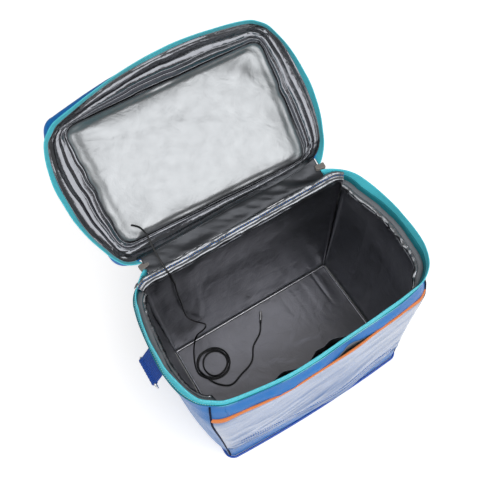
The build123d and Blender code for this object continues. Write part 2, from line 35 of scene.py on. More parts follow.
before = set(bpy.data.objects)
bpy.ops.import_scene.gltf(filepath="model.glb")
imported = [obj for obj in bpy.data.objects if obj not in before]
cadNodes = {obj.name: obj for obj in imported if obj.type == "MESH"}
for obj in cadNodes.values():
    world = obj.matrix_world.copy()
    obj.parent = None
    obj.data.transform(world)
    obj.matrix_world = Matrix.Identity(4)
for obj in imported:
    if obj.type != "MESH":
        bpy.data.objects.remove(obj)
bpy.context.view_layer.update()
mm = 0.001


# camera and stage
cameraSetup = {"place": (-0.2112, -0.3215, 1.1509), "aim": (0.0563, 0.2291, 0), "roll": -6.05, "lens": 51.53}


def addCamera(setup):
    data = bpy.data.cameras.new("productCamera")
    data.sensor_width = 36.0
    data.lens = setup["lens"]
    camera = bpy.data.objects.new("productCamera", data)
    bpy.context.scene.collection.objects.link(camera)
    look = Vector(setup["aim"]) - Vector(setup["place"])
    camera.rotation_mode = "QUATERNION"
    roll = Matrix.Rotation(math.radians(setup["roll"]), 3, "Z")
    camera.rotation_quaternion = (look.to_track_quat("-Z", "Y").to_matrix() @ roll).to_quaternion()
    camera.location = setup["place"]
    bpy.context.scene.camera = camera


addCamera(cameraSetup)
print("camera ready")


# outlines of the body and the lid, worked out as the pattern is cut
patternSizes = ("halfWidth", "frontY", "backY", "corner", "sideBow", "frontBow")
bodyPattern = dict(zip(patternSizes, (0.165, 0.106, 0.106, 0.013, 0, 0.006)))
rimPattern = dict(zip(patternSizes, (0.178, 0.106, 0.107, 0.041, 0.018, 0.0075)))
lidPattern = dict(zip(patternSizes, (0.176, 0.106, 0.113, 0.037, 0.022, 0.019)))
lidTopPattern = dict(zip(patternSizes, (0.165, 0.104, 0.106, 0.016, 0, 0)))
heights = {"rim": 0.305, "lidTop": 0.347, "floor": 0.0128}
rimSag = (
    (0, -5.8), (0.07, -2.6), (0.13, -0.9), (0.25, 2.5), (0.48, 2.2), (0.62, -0.4), (0.75, -0.8), (0.92, -1),
    (1.1, -4.6), (1.4, -6.4), (1.7, -4.4), (2, 0), (2.3, 0.4), (2.5, 0.3), (2.7, -2.2), (3, -6.2),
    (3.3, -3), (3.6, 0.8), (4, 0.5), (4.5, 0), (5, 0.5), (5.4, 1.6), (5.8, 0.4), (6.1, 0.9), (6.4, 1.2),
    (6.68, 3.3), (6.9, 1), (7.2, -6.6), (7.5, -9.6), (7.8, -8.9), (8, -5.8),
)
ringCuts = (120, 20, 84, 20, 120, 20, 84, 20)
easeColumns = 3
hinge = {"y": 0.1225, "z": 0.306, "skew": 0.6, "open": 145.3}


def bowCircle(chord, bow):
    bow = max(bow, 1e-5)
    return (chord**2 / 4 + bow**2) / (2 * bow)


def patternArcs(pattern):
    # side and corner arcs in turn from the front on, each as centre, radius, first angle, last angle
    wide, frontY, backY, cornerR, sideBow, frontBow = (pattern[size] for size in patternSizes)
    middleY = (backY - frontY) / 2
    chords = ((frontY + backY, sideBow), (2 * wide, frontBow), (2 * wide, 0))
    sideR, frontR, backR = (bowCircle(chord, bow) for chord, bow in chords)
    sides = [
        (Vector((0, frontR - frontY - frontBow)), frontR),
        (Vector((wide + sideBow - sideR, middleY)), sideR),
        (Vector((0, backY - backR)), backR),
        (Vector((-wide - sideBow + sideR, middleY)), sideR),
    ]

    def cornerCentre(number, signX, signY):
        # a circle of the corner's radius that touches two neighbouring sides from inside
        (a, ra), (b, rb) = sides[number], sides[(number + 1) % 4]
        ra, rb, apart = ra - cornerR, rb - cornerR, (b - a).length
        reach = (ra**2 - rb**2 + apart**2) / (2 * apart)
        off = math.sqrt(max(ra**2 - reach**2, 0))
        way = (b - a) / apart
        found = [a + way * reach + Vector((-way.y, way.x)) * off * s for s in (-1, 1)]
        return max(found, key=lambda p: p.x * signX + p.y * signY)

    def heading(fromPoint, toPoint):
        return math.atan2(toPoint.y - fromPoint.y, toPoint.x - fromPoint.x)

    corners = [cornerCentre(k, *signs) for k, signs in enumerate(((1, -1), (1, 1), (-1, 1), (-1, -1)))]
    arcs = []
    for k, (centre, radius) in enumerate(sides):
        corner, after = corners[k], sides[(k + 1) % 4][0]
        arcs.append((centre, radius, heading(centre, corners[k - 1]), heading(centre, corner)))
        arcs.append((corner, cornerR, heading(centre, corner), heading(after, corner)))
    return [(c, r, first, last + 2 * math.pi * (last < first)) for c, r, first, last in arcs]


def outline(pattern, grow, cuts):
    # points, outward normals and edge number of a closed outline; cuts says how many points each edge has
    points, normals, edges = [], [], []
    for number, (centre, radius, first, last) in enumerate(patternArcs(pattern)):
        count = cuts[number]
        for k in range(count):
            angle = first + (last - first) * k / count
            way = np.array([math.cos(angle), math.sin(angle)])
            points.append(np.array(centre) + way * (radius + grow))
            normals.append(way)
            edges.append(number + k / count)
    return np.array(points), np.array(normals), np.array(edges)


def eased(values, reach, closed=True):
    # a run of values with its sharp bends rounded over a number of columns
    steps = np.arange(-3 * reach, 3 * reach + 1)
    weights = np.exp(-0.5 * (steps / reach) ** 2)
    padded = np.pad(values, 3 * reach, mode="wrap" if closed else "edge")
    return np.convolve(padded, weights / weights.sum(), "valid")


def makeWall(lowPattern, highPattern, lowZ, highZ, cuts, sag=None):
    # a wall ruled between two outlines; sag says how far the soft upper edge stands off its outline
    low, lowWay, edges = outline(lowPattern, 0, cuts)
    high, highWay = outline(highPattern, 0, cuts)[:2]
    drawn = eased(along(edges, sag), easeColumns * cuts[0] // ringCuts[0]) if sag else np.zeros(len(edges))
    columns = {"low": low, "high": high, "lowWay": lowWay, "highWay": highWay, "edges": edges, "sag": drawn}
    return {**columns, "lowZ": lowZ, "highZ": highZ}


def wallPart(wall, first, last):
    # the columns between two edge positions, going round past the start
    unrolled = unrolledFrom(first - 1e-9, wall["edges"])
    order = np.argsort(unrolled)
    order = order[unrolled[order] <= last + 1e-9]
    part = {key: wall[key][order] for key in ("low", "high", "lowWay", "highWay", "sag")}
    return {**wall, **part, "edges": unrolled[order]}


def wallPoints(wall, z, off=0.0):
    # points at heights z, off metres outside the wall, as rows by columns
    z = np.asarray(z, float)
    z = np.broadcast_to(z, (z.shape[0], len(wall["low"])))
    t = ((z - wall["lowZ"]) / (wall["highZ"] - wall["lowZ"]))[..., None]
    way = wall["lowWay"] + (wall["highWay"] - wall["lowWay"]) * t
    way = way / np.linalg.norm(way, axis=2, keepdims=True)
    off = np.broadcast_to(off, z.shape) + wall["sag"] * smoothStep(t[..., 0], 0.78, 0.95)
    flat = wall["low"] + (wall["high"] - wall["low"]) * t + way * off[..., None]
    return np.concatenate([flat, z[..., None]], axis=-1)


def profilePoints(wall, profile):
    # rows that follow a cross-section given as pairs of distance outside the wall and height
    off, z = np.array(profile).T[..., None]
    return wallPoints(wall, z, off)


def levels(low, high, count):
    return np.linspace(low, high, count)[:, None]


def hump(edges, number, sharp=1.0):
    # rises and falls once along one edge of the outline
    return np.sin(np.pi * np.clip(edges % 8 - number, 0, 1)) ** sharp


def bell(value, middle, width):
    return np.exp(-(((value - middle) / width) ** 2))


def smoothStep(value, low, high):
    t = np.clip((value - low) / (high - low), 0, 1)
    return t * t * (3 - 2 * t)


def plateau(value, low, fullFrom, fullTo, high):
    # 0 up to low, 1 between the two middle values and 0 again from high on
    return smoothStep(value, low, fullFrom) * (1 - smoothStep(value, fullTo, high))


def unrolledFrom(first, edges):
    # edge numbers that go on past 8 instead of starting again
    return np.where(edges < first, edges + 8, edges)


def joined(*parts):
    # arrays of the same grid put together as the coordinates of its points
    return np.stack(np.broadcast_arrays(*parts), axis=-1)


def runAlong(line):
    # how far each point of a line is from its first one
    return np.concatenate([[0], np.cumsum(np.linalg.norm(np.diff(line, axis=0), axis=1))])


def seamDistance(edges):
    # 0 on a corner seam, 1 in the middle of a side
    return np.abs((edges - 0.5) % 2 - 1)


def edgeRun(edges):
    # how far round the outline an edge position is, taking sides and corners at their usual lengths
    lengths = np.tile((0.28, 0.06, 0.17, 0.06), 4)
    starts = np.concatenate([[0], np.cumsum(lengths)])
    number = np.clip(np.floor(edges).astype(int), 0, 15)
    return starts[number] + (edges - number) * lengths[number]


def along(edges, stations):
    # a value that changes smoothly along the outline; stations are pairs of edge number and millimetres
    at, value = np.array(stations, float).T
    at, value, edges = edgeRun(at), value * mm, edgeRun(np.asarray(edges, float))
    slope = np.gradient(value, at)
    k = np.clip(np.searchsorted(at, edges) - 1, 0, len(at) - 2)
    span = at[k + 1] - at[k]
    t = np.clip((edges - at[k]) / span, 0, 1)
    start = value[k] * (1 + 2 * t) + slope[k] * span * t
    end = value[k + 1] * (3 - 2 * t) + slope[k + 1] * span * (t - 1)
    return start * (1 - t) ** 2 + end * t**2


skewAxis = Vector((math.cos(math.radians(hinge["skew"])), math.sin(math.radians(hinge["skew"])), 0))
openMatrix = (
    Matrix.Translation((0, hinge["y"], hinge["z"]))
    @ Matrix.Rotation(-math.radians(hinge["open"]), 4, skewAxis)
    @ Matrix.Translation((0, -hinge["y"], -hinge["z"]))
)


def openLid(points):
    # swings points of the closed lid to where it lies open
    grid = np.asarray(points, float)
    turn = np.array(openMatrix)
    return grid @ turn[:3, :3].T + turn[:3, 3]


# seeded noise for folds and creases
def latticeValue(cells, seed):
    n = cells[..., 0] * 374761393 + cells[..., 1] * 668265263 + cells[..., 2] * 2147483647 + seed * 974634777
    n = (n ^ (n >> 13)) * 1274126177
    n = (n ^ (n >> 16)) & 0xFFFFFF
    return n / float(0x7FFFFF) - 1.0


def softNoise(points, size, seed):
    # smooth noise from -1 to 1; size is the width of its bumps, one number or one for each axis
    p = np.asarray(points, float) / np.asarray(size, float)
    if p.shape[-1] == 2:
        p = np.concatenate([p, np.zeros(p.shape[:-1] + (1,))], axis=-1)
    base = np.floor(p).astype(np.int64)
    f = p - base
    f = f * f * f * (f * (f * 6 - 15) + 10)
    total = np.zeros(p.shape[:-1])
    for corner in np.ndindex(2, 2, 2):
        x, y, z = (f[..., k] if step else 1 - f[..., k] for k, step in enumerate(corner))
        total += x * y * z * latticeValue(base + np.array(corner), seed)
    return total


def layeredNoise(points, size, seed, layers=3):
    total, strength = 0, 1.0
    size = np.asarray(size, float)
    for k in range(layers):
        total = total + strength * softNoise(points, size / 2**k, seed + k)
        strength *= 0.5
    return total


def creaseNoise(points, size, seed):
    # straight-sided creases: sharp along the lines where the smooth noise changes sign
    return 1 - 2 * np.abs(softNoise(points, size, seed)) ** 0.8


def crumple(flat, size, seed):
    # dents between sharp ridges, as in crushed foil; flat is an array of 2-D points
    p = np.asarray(flat, float) / np.asarray(size, float)
    base = np.floor(p).astype(np.int64)
    best = np.full(p.shape[:-1], 9.0)
    for step in np.ndindex(3, 3):
        cell = base + np.array(step) - 1
        cell3 = np.concatenate([cell, np.zeros(cell.shape[:-1] + (1,), np.int64)], axis=-1)
        jitter = np.stack([latticeValue(cell3, seed + k) for k in (0, 7)], axis=-1) * 0.45 + 0.5
        best = np.minimum(best, ((cell + jitter - p) ** 2).sum(-1))
    return best


# mesh makers
def addObject(name, data, body, replaced=()):
    thing = bpy.data.objects.new(name, data)
    bpy.context.scene.collection.objects.link(thing)
    if body:
        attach(thing, body)
    if replaced:
        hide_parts(*replaced)
    return thing


def meshData(name, verts, faces, uvs=None):
    data = bpy.data.meshes.new(name)
    data.from_pydata([tuple(v) for v in verts], [], faces)
    data.validate()
    data.polygons.foreach_set("use_smooth", [True] * len(data.polygons))
    if uvs is not None:
        layer = data.uv_layers.new(name="clothMap")
        loops = np.zeros(len(data.loops), np.int64)
        data.loops.foreach_get("vertex_index", loops)
        layer.data.foreach_set("uv", np.asarray(uvs, np.float32)[loops].ravel())
    data.update()
    return data


def gridNormals(rows, closed):
    across = np.roll(rows, -1, axis=1) - np.roll(rows, 1, axis=1)
    if not closed:
        across[:, 0] = rows[:, 1] - rows[:, 0]
        across[:, -1] = rows[:, -1] - rows[:, -2]
    normal = np.cross(across, np.gradient(rows, axis=0))
    length = np.linalg.norm(normal, axis=2, keepdims=True)
    return normal / np.maximum(length, 1e-12)


def sheetMesh(name, rows, thickness, closed=False, uvs=None):
    # a grid of points made into a closed sheet; the grid is its outer face and thickness goes inwards
    rows = np.asarray(rows, float)
    high, wide = rows.shape[:2]
    inner = rows - gridNormals(rows, closed) * thickness
    verts = np.concatenate([rows.reshape(-1, 3), inner.reshape(-1, 3)])
    if uvs is None:
        steps = [np.linalg.norm(np.diff(rows, axis=1 - k), axis=2).mean(k) for k in (0, 1)]
        uvs = np.stack(np.meshgrid(*(np.concatenate([[0], np.cumsum(step)]) for step in steps)), axis=-1)
    flatUv = np.asarray(uvs).reshape(-1, 2)
    faces = []
    count = high * wide
    spans = wide if closed else wide - 1
    for r in range(high - 1):
        for c in range(spans):
            d = (c + 1) % wide
            quad = (r * wide + c, r * wide + d, (r + 1) * wide + d, (r + 1) * wide + c)
            faces += [quad, tuple(quad[k] + count for k in (0, 3, 2, 1))]
    for c in range(spans):
        d, top = (c + 1) % wide, (high - 1) * wide
        faces += [(c + count, d + count, d, c), (top + c, top + d, top + d + count, top + c + count)]
    if not closed:
        for r in range(high - 1):
            a, b = r * wide, (r + 1) * wide
            c, d = a + wide - 1, b + wide - 1
            faces += [(a, b, b + count, a + count), (c + count, d + count, d, c)]
    return meshData(name, verts, faces, np.concatenate([flatUv, flatUv]))


def tubeMesh(name, path, radius, sides, closed=False):
    # round tube along a path of points
    path = np.asarray(path, float)
    count = len(path)
    if closed:
        tangent = np.roll(path, -1, axis=0) - np.roll(path, 1, axis=0)
    else:
        tangent = np.gradient(path, axis=0)
    tangent /= np.linalg.norm(tangent, axis=1, keepdims=True)
    up = np.array([0, 0, 1.0]) if abs(tangent[0][2]) < 0.9 else np.array([1.0, 0, 0])
    side = np.cross(tangent[0], up)
    side /= np.linalg.norm(side)
    verts, uvs, run = [], [], 0.0
    for i in range(count):
        side = side - tangent[i] * np.dot(side, tangent[i])
        side /= np.linalg.norm(side)
        other = np.cross(tangent[i], side)
        if i:
            run += np.linalg.norm(path[i] - path[i - 1])
        for k in range(sides):
            angle = 2 * math.pi * k / sides
            verts.append(path[i] + (side * math.cos(angle) + other * math.sin(angle)) * radius)
            uvs.append((run, angle * radius))
    faces = []
    for i in range(count if closed else count - 1):
        j = (i + 1) % count
        for k in range(sides):
            m = (k + 1) % sides
            faces.append((i * sides + k, i * sides + m, j * sides + m, j * sides + k))
    if not closed:
        faces.append(tuple(range(sides - 1, -1, -1)))
        faces.append(tuple((count - 1) * sides + k for k in range(sides)))
    return meshData(name, verts, faces, uvs)


def resample(line, step, *others):
    # evenly spaced points along a line; other values given for its points are carried along
    line = np.asarray(line, float)
    run = runAlong(line)
    at = np.linspace(0, run[-1], max(2, int(run[-1] / step) + 1))
    found = [np.column_stack([np.interp(at, run, part[:, k]) for k in range(3)]) for part in (line, *others)]
    return found if others else found[0]


def threadMesh(name, starts, ends, up, radius):
    # many short round threads or coil loops at once, each bowed out of the cloth
    starts, ends = np.asarray(starts, float), np.asarray(ends, float)
    up = np.broadcast_to(up, starts.shape)
    way = ends - starts
    side = np.cross(way, up)
    side = side / np.maximum(np.linalg.norm(side, axis=1, keepdims=True), 1e-9) * radius
    rise = up * radius
    stations = [starts, starts + way * 0.2 + rise, starts + way * 0.8 + rise, ends]
    corners = (side, rise, -side, -rise)
    rings = [c + part * size for c, size in zip(stations, (0.5, 1, 1, 0.5)) for part in corners]
    verts = np.stack(rings, axis=1).reshape(-1, 3)
    faces = []
    for k in range(len(starts)):
        base = 16 * k
        for r in range(3):
            for c in range(4):
                d = (c + 1) % 4
                faces.append((base + 4 * r + c, base + 4 * r + 4 + c, base + 4 * r + 4 + d, base + 4 * r + d))
        faces.append((base, base + 1, base + 2, base + 3))
        faces.append((base + 15, base + 14, base + 13, base + 12))
    return meshData(name, verts, faces)


# stitch length and thread radius of each seam
threads = {
    "pocket": (0.0040, 0.00042), "zip": (0.0032, 0.00035), "backFold": (0.0040, 0.0006),
    "strap": (0.0028, 0.0004),
}


def stitchMesh(name, line, up, seam):
    pitch, radius = threads[seam]
    points = resample(line, pitch / 2)
    count = len(points) // 2
    return threadMesh(name, points[0 : 2 * count : 2], points[1 : 2 * count : 2], up, radius)


# finishes
def newMaterial(name):
    material = bpy.data.materials.new(name)
    material.use_nodes = True
    tree = material.node_tree
    shader = next(n for n in tree.nodes if n.type == "BSDF_PRINCIPLED")
    return material, tree, shader


def addNode(tree, kind, settings=None, inputs=None):
    node = tree.nodes.new(kind)
    for key, value in (settings or {}).items():
        setattr(node, key, value)
    for key, value in (inputs or {}).items():
        if isinstance(value, bpy.types.NodeSocket):
            tree.links.new(value, node.inputs[key])
        else:
            node.inputs[key].default_value = value
    return node


def placeVector(tree, useMap):
    # cloth made on a flat pattern uses its own map, in metres; anything else the place in the carrier
    coords = addNode(tree, "ShaderNodeTexCoord")
    return coords.outputs["UV"] if useMap else coords.outputs["Object"]


def noiseTexture(tree, vector, width, detail=3.0, rough=0.5, distort=0.0):
    inputs = {"Vector": vector, "Scale": 1 / width, "Detail": detail, "Roughness": rough}
    return addNode(tree, "ShaderNodeTexNoise", inputs={**inputs, "Distortion": distort}).outputs["Fac"]


def ribTexture(tree, vector, width, direction):
    # fine ribs across one direction of the map, width metres apart; at scale 1 they are ribAtOne apart
    ribAtOne = 0.314159
    settings = {"wave_type": "BANDS", "bands_direction": direction, "wave_profile": "SIN"}
    inputs = {"Vector": vector, "Scale": ribAtOne / width}
    return addNode(tree, "ShaderNodeTexWave", settings, inputs).outputs["Fac"]


def mixColors(tree, factor, first, second):
    node = addNode(tree, "ShaderNodeMix", {"data_type": "RGBA"})
    tree.links.new(factor, node.inputs["Factor"])
    colorSockets = [s for s in node.inputs if s.type == "RGBA"]
    for socket, value in zip(colorSockets, (first, second)):
        if isinstance(value, bpy.types.NodeSocket):
            tree.links.new(value, socket)
        else:
            socket.default_value = (*value, 1)
    return next(s for s in node.outputs if s.type == "RGBA")


def spread(tree, value, low, high):
    # turns a 0 to 1 texture into a range of values
    inputs = {"Value": value, "To Min": low, "To Max": high}
    return addNode(tree, "ShaderNodeMapRange", {"clamp": True}, inputs).outputs["Result"]


def addHeights(tree, first, second):
    return addNode(tree, "ShaderNodeMath", {"operation": "ADD"}, {0: first, 1: second}).outputs[0]


def scaled(tree, value, factor):
    return addNode(tree, "ShaderNodeMath", {"operation": "MULTIPLY"}, {0: value, 1: factor}).outputs[0]


def bumpFrom(tree, shader, height, distance):
    bump = addNode(tree, "ShaderNodeBump", inputs={"Height": height, "Distance": distance})
    tree.links.new(bump.outputs["Normal"], shader.inputs["Normal"])


def shadeBase(tree, shader, texture, color, dark, light):
    # base colour between a darker and a lighter tint, as the texture says
    tints = [tuple(min(1, c * factor) for c in color) for factor in (dark, light)]
    tree.links.new(mixColors(tree, texture, *tints), shader.inputs["Base Color"])


def spreadRoughness(tree, shader, texture, low, high):
    tree.links.new(spread(tree, texture, low, high), shader.inputs["Roughness"])


def setInputs(shader, values):
    for key, value in values.items():
        shader.inputs[key].default_value = value


def coatedCloth(name, color, coat, useMap=True, weave=0.00006):
    # plain weave under a glossy coating, with soft waves in the coating
    material, tree, shader = newMaterial(name)
    place = placeVector(tree, useMap)
    shadeBase(tree, shader, noiseTexture(tree, place, 0.06, 4), color, 0.86, 1.14)
    spreadRoughness(tree, shader, noiseTexture(tree, place, 0.02, 5), 0.23, 0.38)
    weaveHeight = addHeights(tree, *(ribTexture(tree, place, 0.0009, way) for way in ("X", "Y")))
    waves = scaled(tree, noiseTexture(tree, place, 0.012, 3), 6.0)
    bumpFrom(tree, shader, addHeights(tree, weaveHeight, waves), weave)
    setInputs(shader, {"Coat Weight": coat, "Coat Roughness": 0.12, "Specular IOR Level": 0.3 + 0.3 * coat})
    return material


def foilFilm(name, color, rough, crinkle, useMap=True, metal=1.0):
    # aluminised film on thin foam: satin metal with shallow dents and fine crinkles
    material, tree, shader = newMaterial(name)
    place = placeVector(tree, useMap)
    shadeBase(tree, shader, noiseTexture(tree, place, 0.05, 5, 0.6), color, 0.9, 1.08)
    spreadRoughness(tree, shader, noiseTexture(tree, place, 0.015, 4), rough - 0.08, rough + 0.08)
    setInputs(shader, {"Metallic": metal})
    dents = noiseTexture(tree, place, 0.03, 4, 0.55, 0.6)
    cellInputs = {"Vector": place, "Scale": 1 / 0.022}
    cells = addNode(tree, "ShaderNodeTexVoronoi", {"feature": "DISTANCE_TO_EDGE"}, cellInputs)
    sharp = scaled(tree, spread(tree, cells.outputs["Distance"], 0.0, 0.6), crinkle)
    grain = scaled(tree, noiseTexture(tree, place, 0.0012, 2), 0.05)
    bumpFrom(tree, shader, addHeights(tree, addHeights(tree, dents, sharp), grain), 0.0012)
    return material


def ribbedTape(name, color, width, direction="X", rough=0.75, depth=0.0003, sheen=0.15):
    # woven tape with ribs across it
    material, tree, shader = newMaterial(name)
    place = placeVector(tree, True)
    ribs = ribTexture(tree, place, width, direction)
    # the rib texture also sets the colour, darker in the grooves and lighter on the ribs: painted shade and
    # highlight
    shadeBase(tree, shader, ribs, color, 0.78, 1.1)
    grain = noiseTexture(tree, place, 0.0015)
    spreadRoughness(tree, shader, grain, rough - 0.1, rough + 0.1)
    bumpFrom(tree, shader, addHeights(tree, ribs, scaled(tree, grain, 0.4)), depth)
    setInputs(shader, {"Sheen Weight": sheen, "Sheen Roughness": 0.4})
    return material


def plainFinish(name, color, rough, metal=0.0, grainWidth=0.002, bump=0.00004, coat=0.0, specular=0.5):
    # moulded, painted or plated surface with fine grain and uneven wear
    material, tree, shader = newMaterial(name)
    place = placeVector(tree, False)
    shadeBase(tree, shader, noiseTexture(tree, place, 0.01, 5, 0.6), color, 0.88, 1.12)
    grain = noiseTexture(tree, place, grainWidth)
    spreadRoughness(tree, shader, grain, max(rough - 0.08, 0.02), rough + 0.08)
    setInputs(shader, {"Metallic": metal, "Specular IOR Level": specular})
    bumpFrom(tree, shader, grain, bump)
    if coat:
        setInputs(shader, {"Coat Weight": coat, "Coat Roughness": 0.08})
    return material


coats = [
    coatedCloth("coatedBlueCloth", (0.004, 0.165, 0.52), 0.08),
    coatedCloth("coatedBlueClothPlain", (0.004, 0.165, 0.52), 0.08, useMap=False),
    foilFilm("wallFoil", (0.26, 0.27, 0.30), 0.34, 0.08),
    foilFilm("floorFoil", (0.265, 0.26, 0.275), 0.33, 0.12),
    foilFilm("lidFoil", (0.295, 0.305, 0.315), 0.38, 0.05),
    # a darker copy of the lid's foil for the gusset: painted shade for the dark surroundings that its pleats
    # reflect
    foilFilm("gussetFoilPaintedShade", (0.165, 0.17, 0.185), 0.22, 0.5),
    # a brighter copy of the foil for the hem: painted highlight
    foilFilm("hemFoilPaintedHighlight", (0.36, 0.37, 0.39), 0.27, 0.5),
    foilFilm("foldFoil", (0.30, 0.31, 0.33), 0.36, 0.3),
    # a brighter copy of the foil for the floor welt: painted highlight
    foilFilm("weltFoilPaintedHighlight", (0.58, 0.58, 0.61), 0.25, 0.1, useMap=False),
    # the pocket's cloth is the coated blue cloth with more coat and a darker base; the darker base is painted
    # shade for the weaker light on the front
    coatedCloth("pocketClothPaintedShade", (0.01, 0.105, 0.33), 0.75, weave=0.00002),
    # grey for the sheet behind the pocket mouth: painted reflection
    ribbedTape("pocketMouthPaintedReflection", (0.2, 0.22, 0.27), 0.001),
    ribbedTape("tabWebbing", (0.005, 0.07, 0.40), 0.0026, "Y", depth=0.0008, sheen=0.05),
    ribbedTape("greyFacing", (0.165, 0.17, 0.185), 0.0016, rough=0.5),
    foilFilm("hingeCloth", (0.055, 0.058, 0.065), 0.42, 0.1, metal=0.7),
    ribbedTape("tealZipTape", (0.09, 0.70, 0.83), 0.0016, rough=0.6),
    # deep teal for the strip over the rim groove: painted shade of the tape's inner fold
    ribbedTape("tealSeamPaintedShade", (0.0, 0.21, 0.26), 0.0016, rough=0.7),
    plainFinish("tealZipCoil", (0.20, 0.78, 0.90), 0.4),
    ribbedTape("orangeBinding", (0.95, 0.27, 0.07), 0.0011, rough=0.7),
    ribbedTape("blueWebbing", (0.01, 0.09, 0.42), 0.0018, rough=0.7),
    plainFinish("navyPiping", (0.005, 0.010, 0.035), 0.8, specular=0.15),
    plainFinish("bluePiping", (0.016, 0.085, 0.42), 0.35, coat=0.2),
    plainFinish("cableJacket", (0.012, 0.012, 0.013), 0.38),
    plainFinish("drawnSteel", (0.6, 0.58, 0.56), 0.3, metal=1.0),
    plainFinish("nickelWire", (0.62, 0.62, 0.63), 0.22, metal=1.0),
    plainFinish("sliderEnamel", (0.24, 0.22, 0.205), 0.38, metal=0.3, coat=0.2),
    plainFinish("caseplastic", (0.02, 0.02, 0.022), 0.45),
    plainFinish("displayWindow", (0.10, 0.12, 0.11), 0.12, coat=0.6),
    plainFinish("circuitBoard", (0.02, 0.16, 0.06), 0.4),
    plainFinish("blueThread", (0.03, 0.17, 0.58), 0.5),
    plainFinish("whiteThread", (0.8, 0.82, 0.82), 0.6),
    plainFinish("foamSheet", (0.75, 0.75, 0.73), 0.85, grainWidth=0.0015, bump=0.0003),
]
finishes = {material.name: material for material in coats}


def finish(thing, look):
    material = finishes[look]
    if thing.data.materials:
        for i in range(len(thing.data.materials)):
            thing.data.materials[i] = material
    else:
        thing.data.materials.append(material)
    return thing


def piece(name, data, body, slot, look, *nodes):
    # a visible piece with its finish; nodes are the CAD nodes that it stands for
    return finish(addObject(name, data, body, nodes), look)


def sheetPiece(name, rows, thickness, body, slot, look, *nodes, closed=False):
    return piece(name, sheetMesh(name, rows, thickness, closed), body, slot, look, *nodes)


print("finishes ready")


# floor and lamps
studio = {
    "floorColor": (0.875, 0.86, 0.835), "lift": 0.4, "farLift": 0.58, "reach": (0.16, 0.42),
    "worldGrey": 0.27,
}


def addStage(setup):
    # a pale floor that brightens away from the carrier, and an even grey sky that the camera sees as white
    half = 6.0
    data = bpy.data.meshes.new("studioFloor")
    corners = [(x * half, y * half, 0) for x, y in ((-1, -1), (1, -1), (1, 1), (-1, 1))]
    data.from_pydata(corners, [], [(0, 1, 2, 3)])
    floor = addObject("studioFloor", data, None)
    material, tree, shader = newMaterial("studioFloor")
    setInputs(shader, {"Base Color": (*setup["floorColor"], 1), "Roughness": 0.9, "Specular IOR Level": 0.1})
    ray = addNode(tree, "ShaderNodeLightPath")
    away = addNode(tree, "ShaderNodeVectorMath", {"operation": "LENGTH"}, {0: placeVector(tree, False)})
    ends = (*setup["reach"], setup["lift"], setup["farLift"])
    reach = dict(zip(("From Min", "From Max", "To Min", "To Max"), ends), Value=away.outputs["Value"])
    lift = addNode(tree, "ShaderNodeMapRange", {"interpolation_type": "SMOOTHSTEP"}, reach).outputs["Result"]
    seen = scaled(tree, ray.outputs["Is Camera Ray"], lift)
    mirrored = scaled(tree, ray.outputs["Is Glossy Ray"], setup["lift"])
    strength = addNode(tree, "ShaderNodeMath", {"operation": "MAXIMUM"}, {0: seen, 1: mirrored})
    tree.links.new(strength.outputs[0], shader.inputs["Emission Strength"])
    setInputs(shader, {"Emission Color": (1, 1, 1, 1)})
    data.materials.append(material)
    world = bpy.data.worlds.new("studioWorld")
    world.use_nodes = True
    bpy.context.scene.world = world
    tree = world.node_tree
    background = next(n for n in tree.nodes if n.type == "BACKGROUND")
    background.inputs["Color"].default_value = (1, 1, 1, 1)
    ray = addNode(tree, "ShaderNodeLightPath")
    strength = spread(tree, ray.outputs["Is Camera Ray"], setup["worldGrey"], 1.0)
    tree.links.new(strength, background.inputs["Strength"])


def addSoftbox(name, place, aim, size, watts):
    data = bpy.data.lights.new(name, "AREA")
    data.shape = "RECTANGLE"
    data.size, data.size_y = size
    data.energy = watts
    lamp = bpy.data.objects.new(name, data)
    bpy.context.scene.collection.objects.link(lamp)
    lamp.location = place
    lamp.rotation_mode = "QUATERNION"
    lamp.rotation_quaternion = (Vector(aim) - Vector(place)).to_track_quat("-Z", "Y")


addStage(studio)
addSoftbox("frontSoftbox", (0.35, -1.5, 2.3), (0, 0.1, 0.2), (3.2, 2.4), 66)
addSoftbox("leftSoftbox", (-2.0, 0.2, 1.7), (0, 0.1, 0.2), (1.6, 1.6), 10)
bpy.context.scene.view_settings.view_transform = "Standard"
print("stage ready")


# sensor cable: one smooth line from the lid, over the hinge, down to the turns and on to the probe
cable = {"thickness": 0.0028, "rest": 0.01425, "gland": (-0.133, 0.066, 0.3388), "lead": 0.008, "sides": 10}
upperRoute = [
    (-130.1, 173.5, 322), (-126, 162.7, 329.5), (-123.3, 149.1, 330), (-125, 128.4, 321),
    (-125.2, 107.5, 313), (-123.6, 92.5, 306), (-121.8, 89.2, 291), (-120.3, 89, 268), (-121.2, 90.3, 236),
    (-119.6, 89.4, 200), (-119.9, 90.4, 166), (-118, 89.4, 137), (-110, 88.8, 113), (-100, 88, 94),
    (-90, 88.4, 71), (-97.6, 88, 56.2), (-111.6, 88.2, 54), (-119.3, 86, 36), (-127.5, 78.5, 20),
    (-134, 66.5, 14.25), (-139, 53, 14.25), (-140.5, 39, 14.25), (-133.5, 28.5, 14.25),
]
lowerRoute = [
    (-130.5, 26, 16.9), (-125, 11.5, 14.25), (-110.5, -3.5, 14.25), (-98, -6.5, 14.25), (-80.5, 0.5, 14.25),
    (-57, 6.5, 14.25), (-46, 15.5, 14.25), (-37, 32, 14.25), (-24.5, 39.5, 14.25), (-10, 48, 14.25),
    (-2.5, 61.5, 15.25),
]
coilTurns = [
    {"centre": (-108.5, 42.5), "across": 28.6, "squash": 0.96, "tilt": 20, "lift": 0.0},
    {"centre": (-105.6, 39.4), "across": 24.6, "squash": 0.90, "tilt": 100, "lift": 0.3},
    {"centre": (-110.6, 44.6), "across": 26.8, "squash": 0.88, "tilt": 150, "lift": 2.3},
]


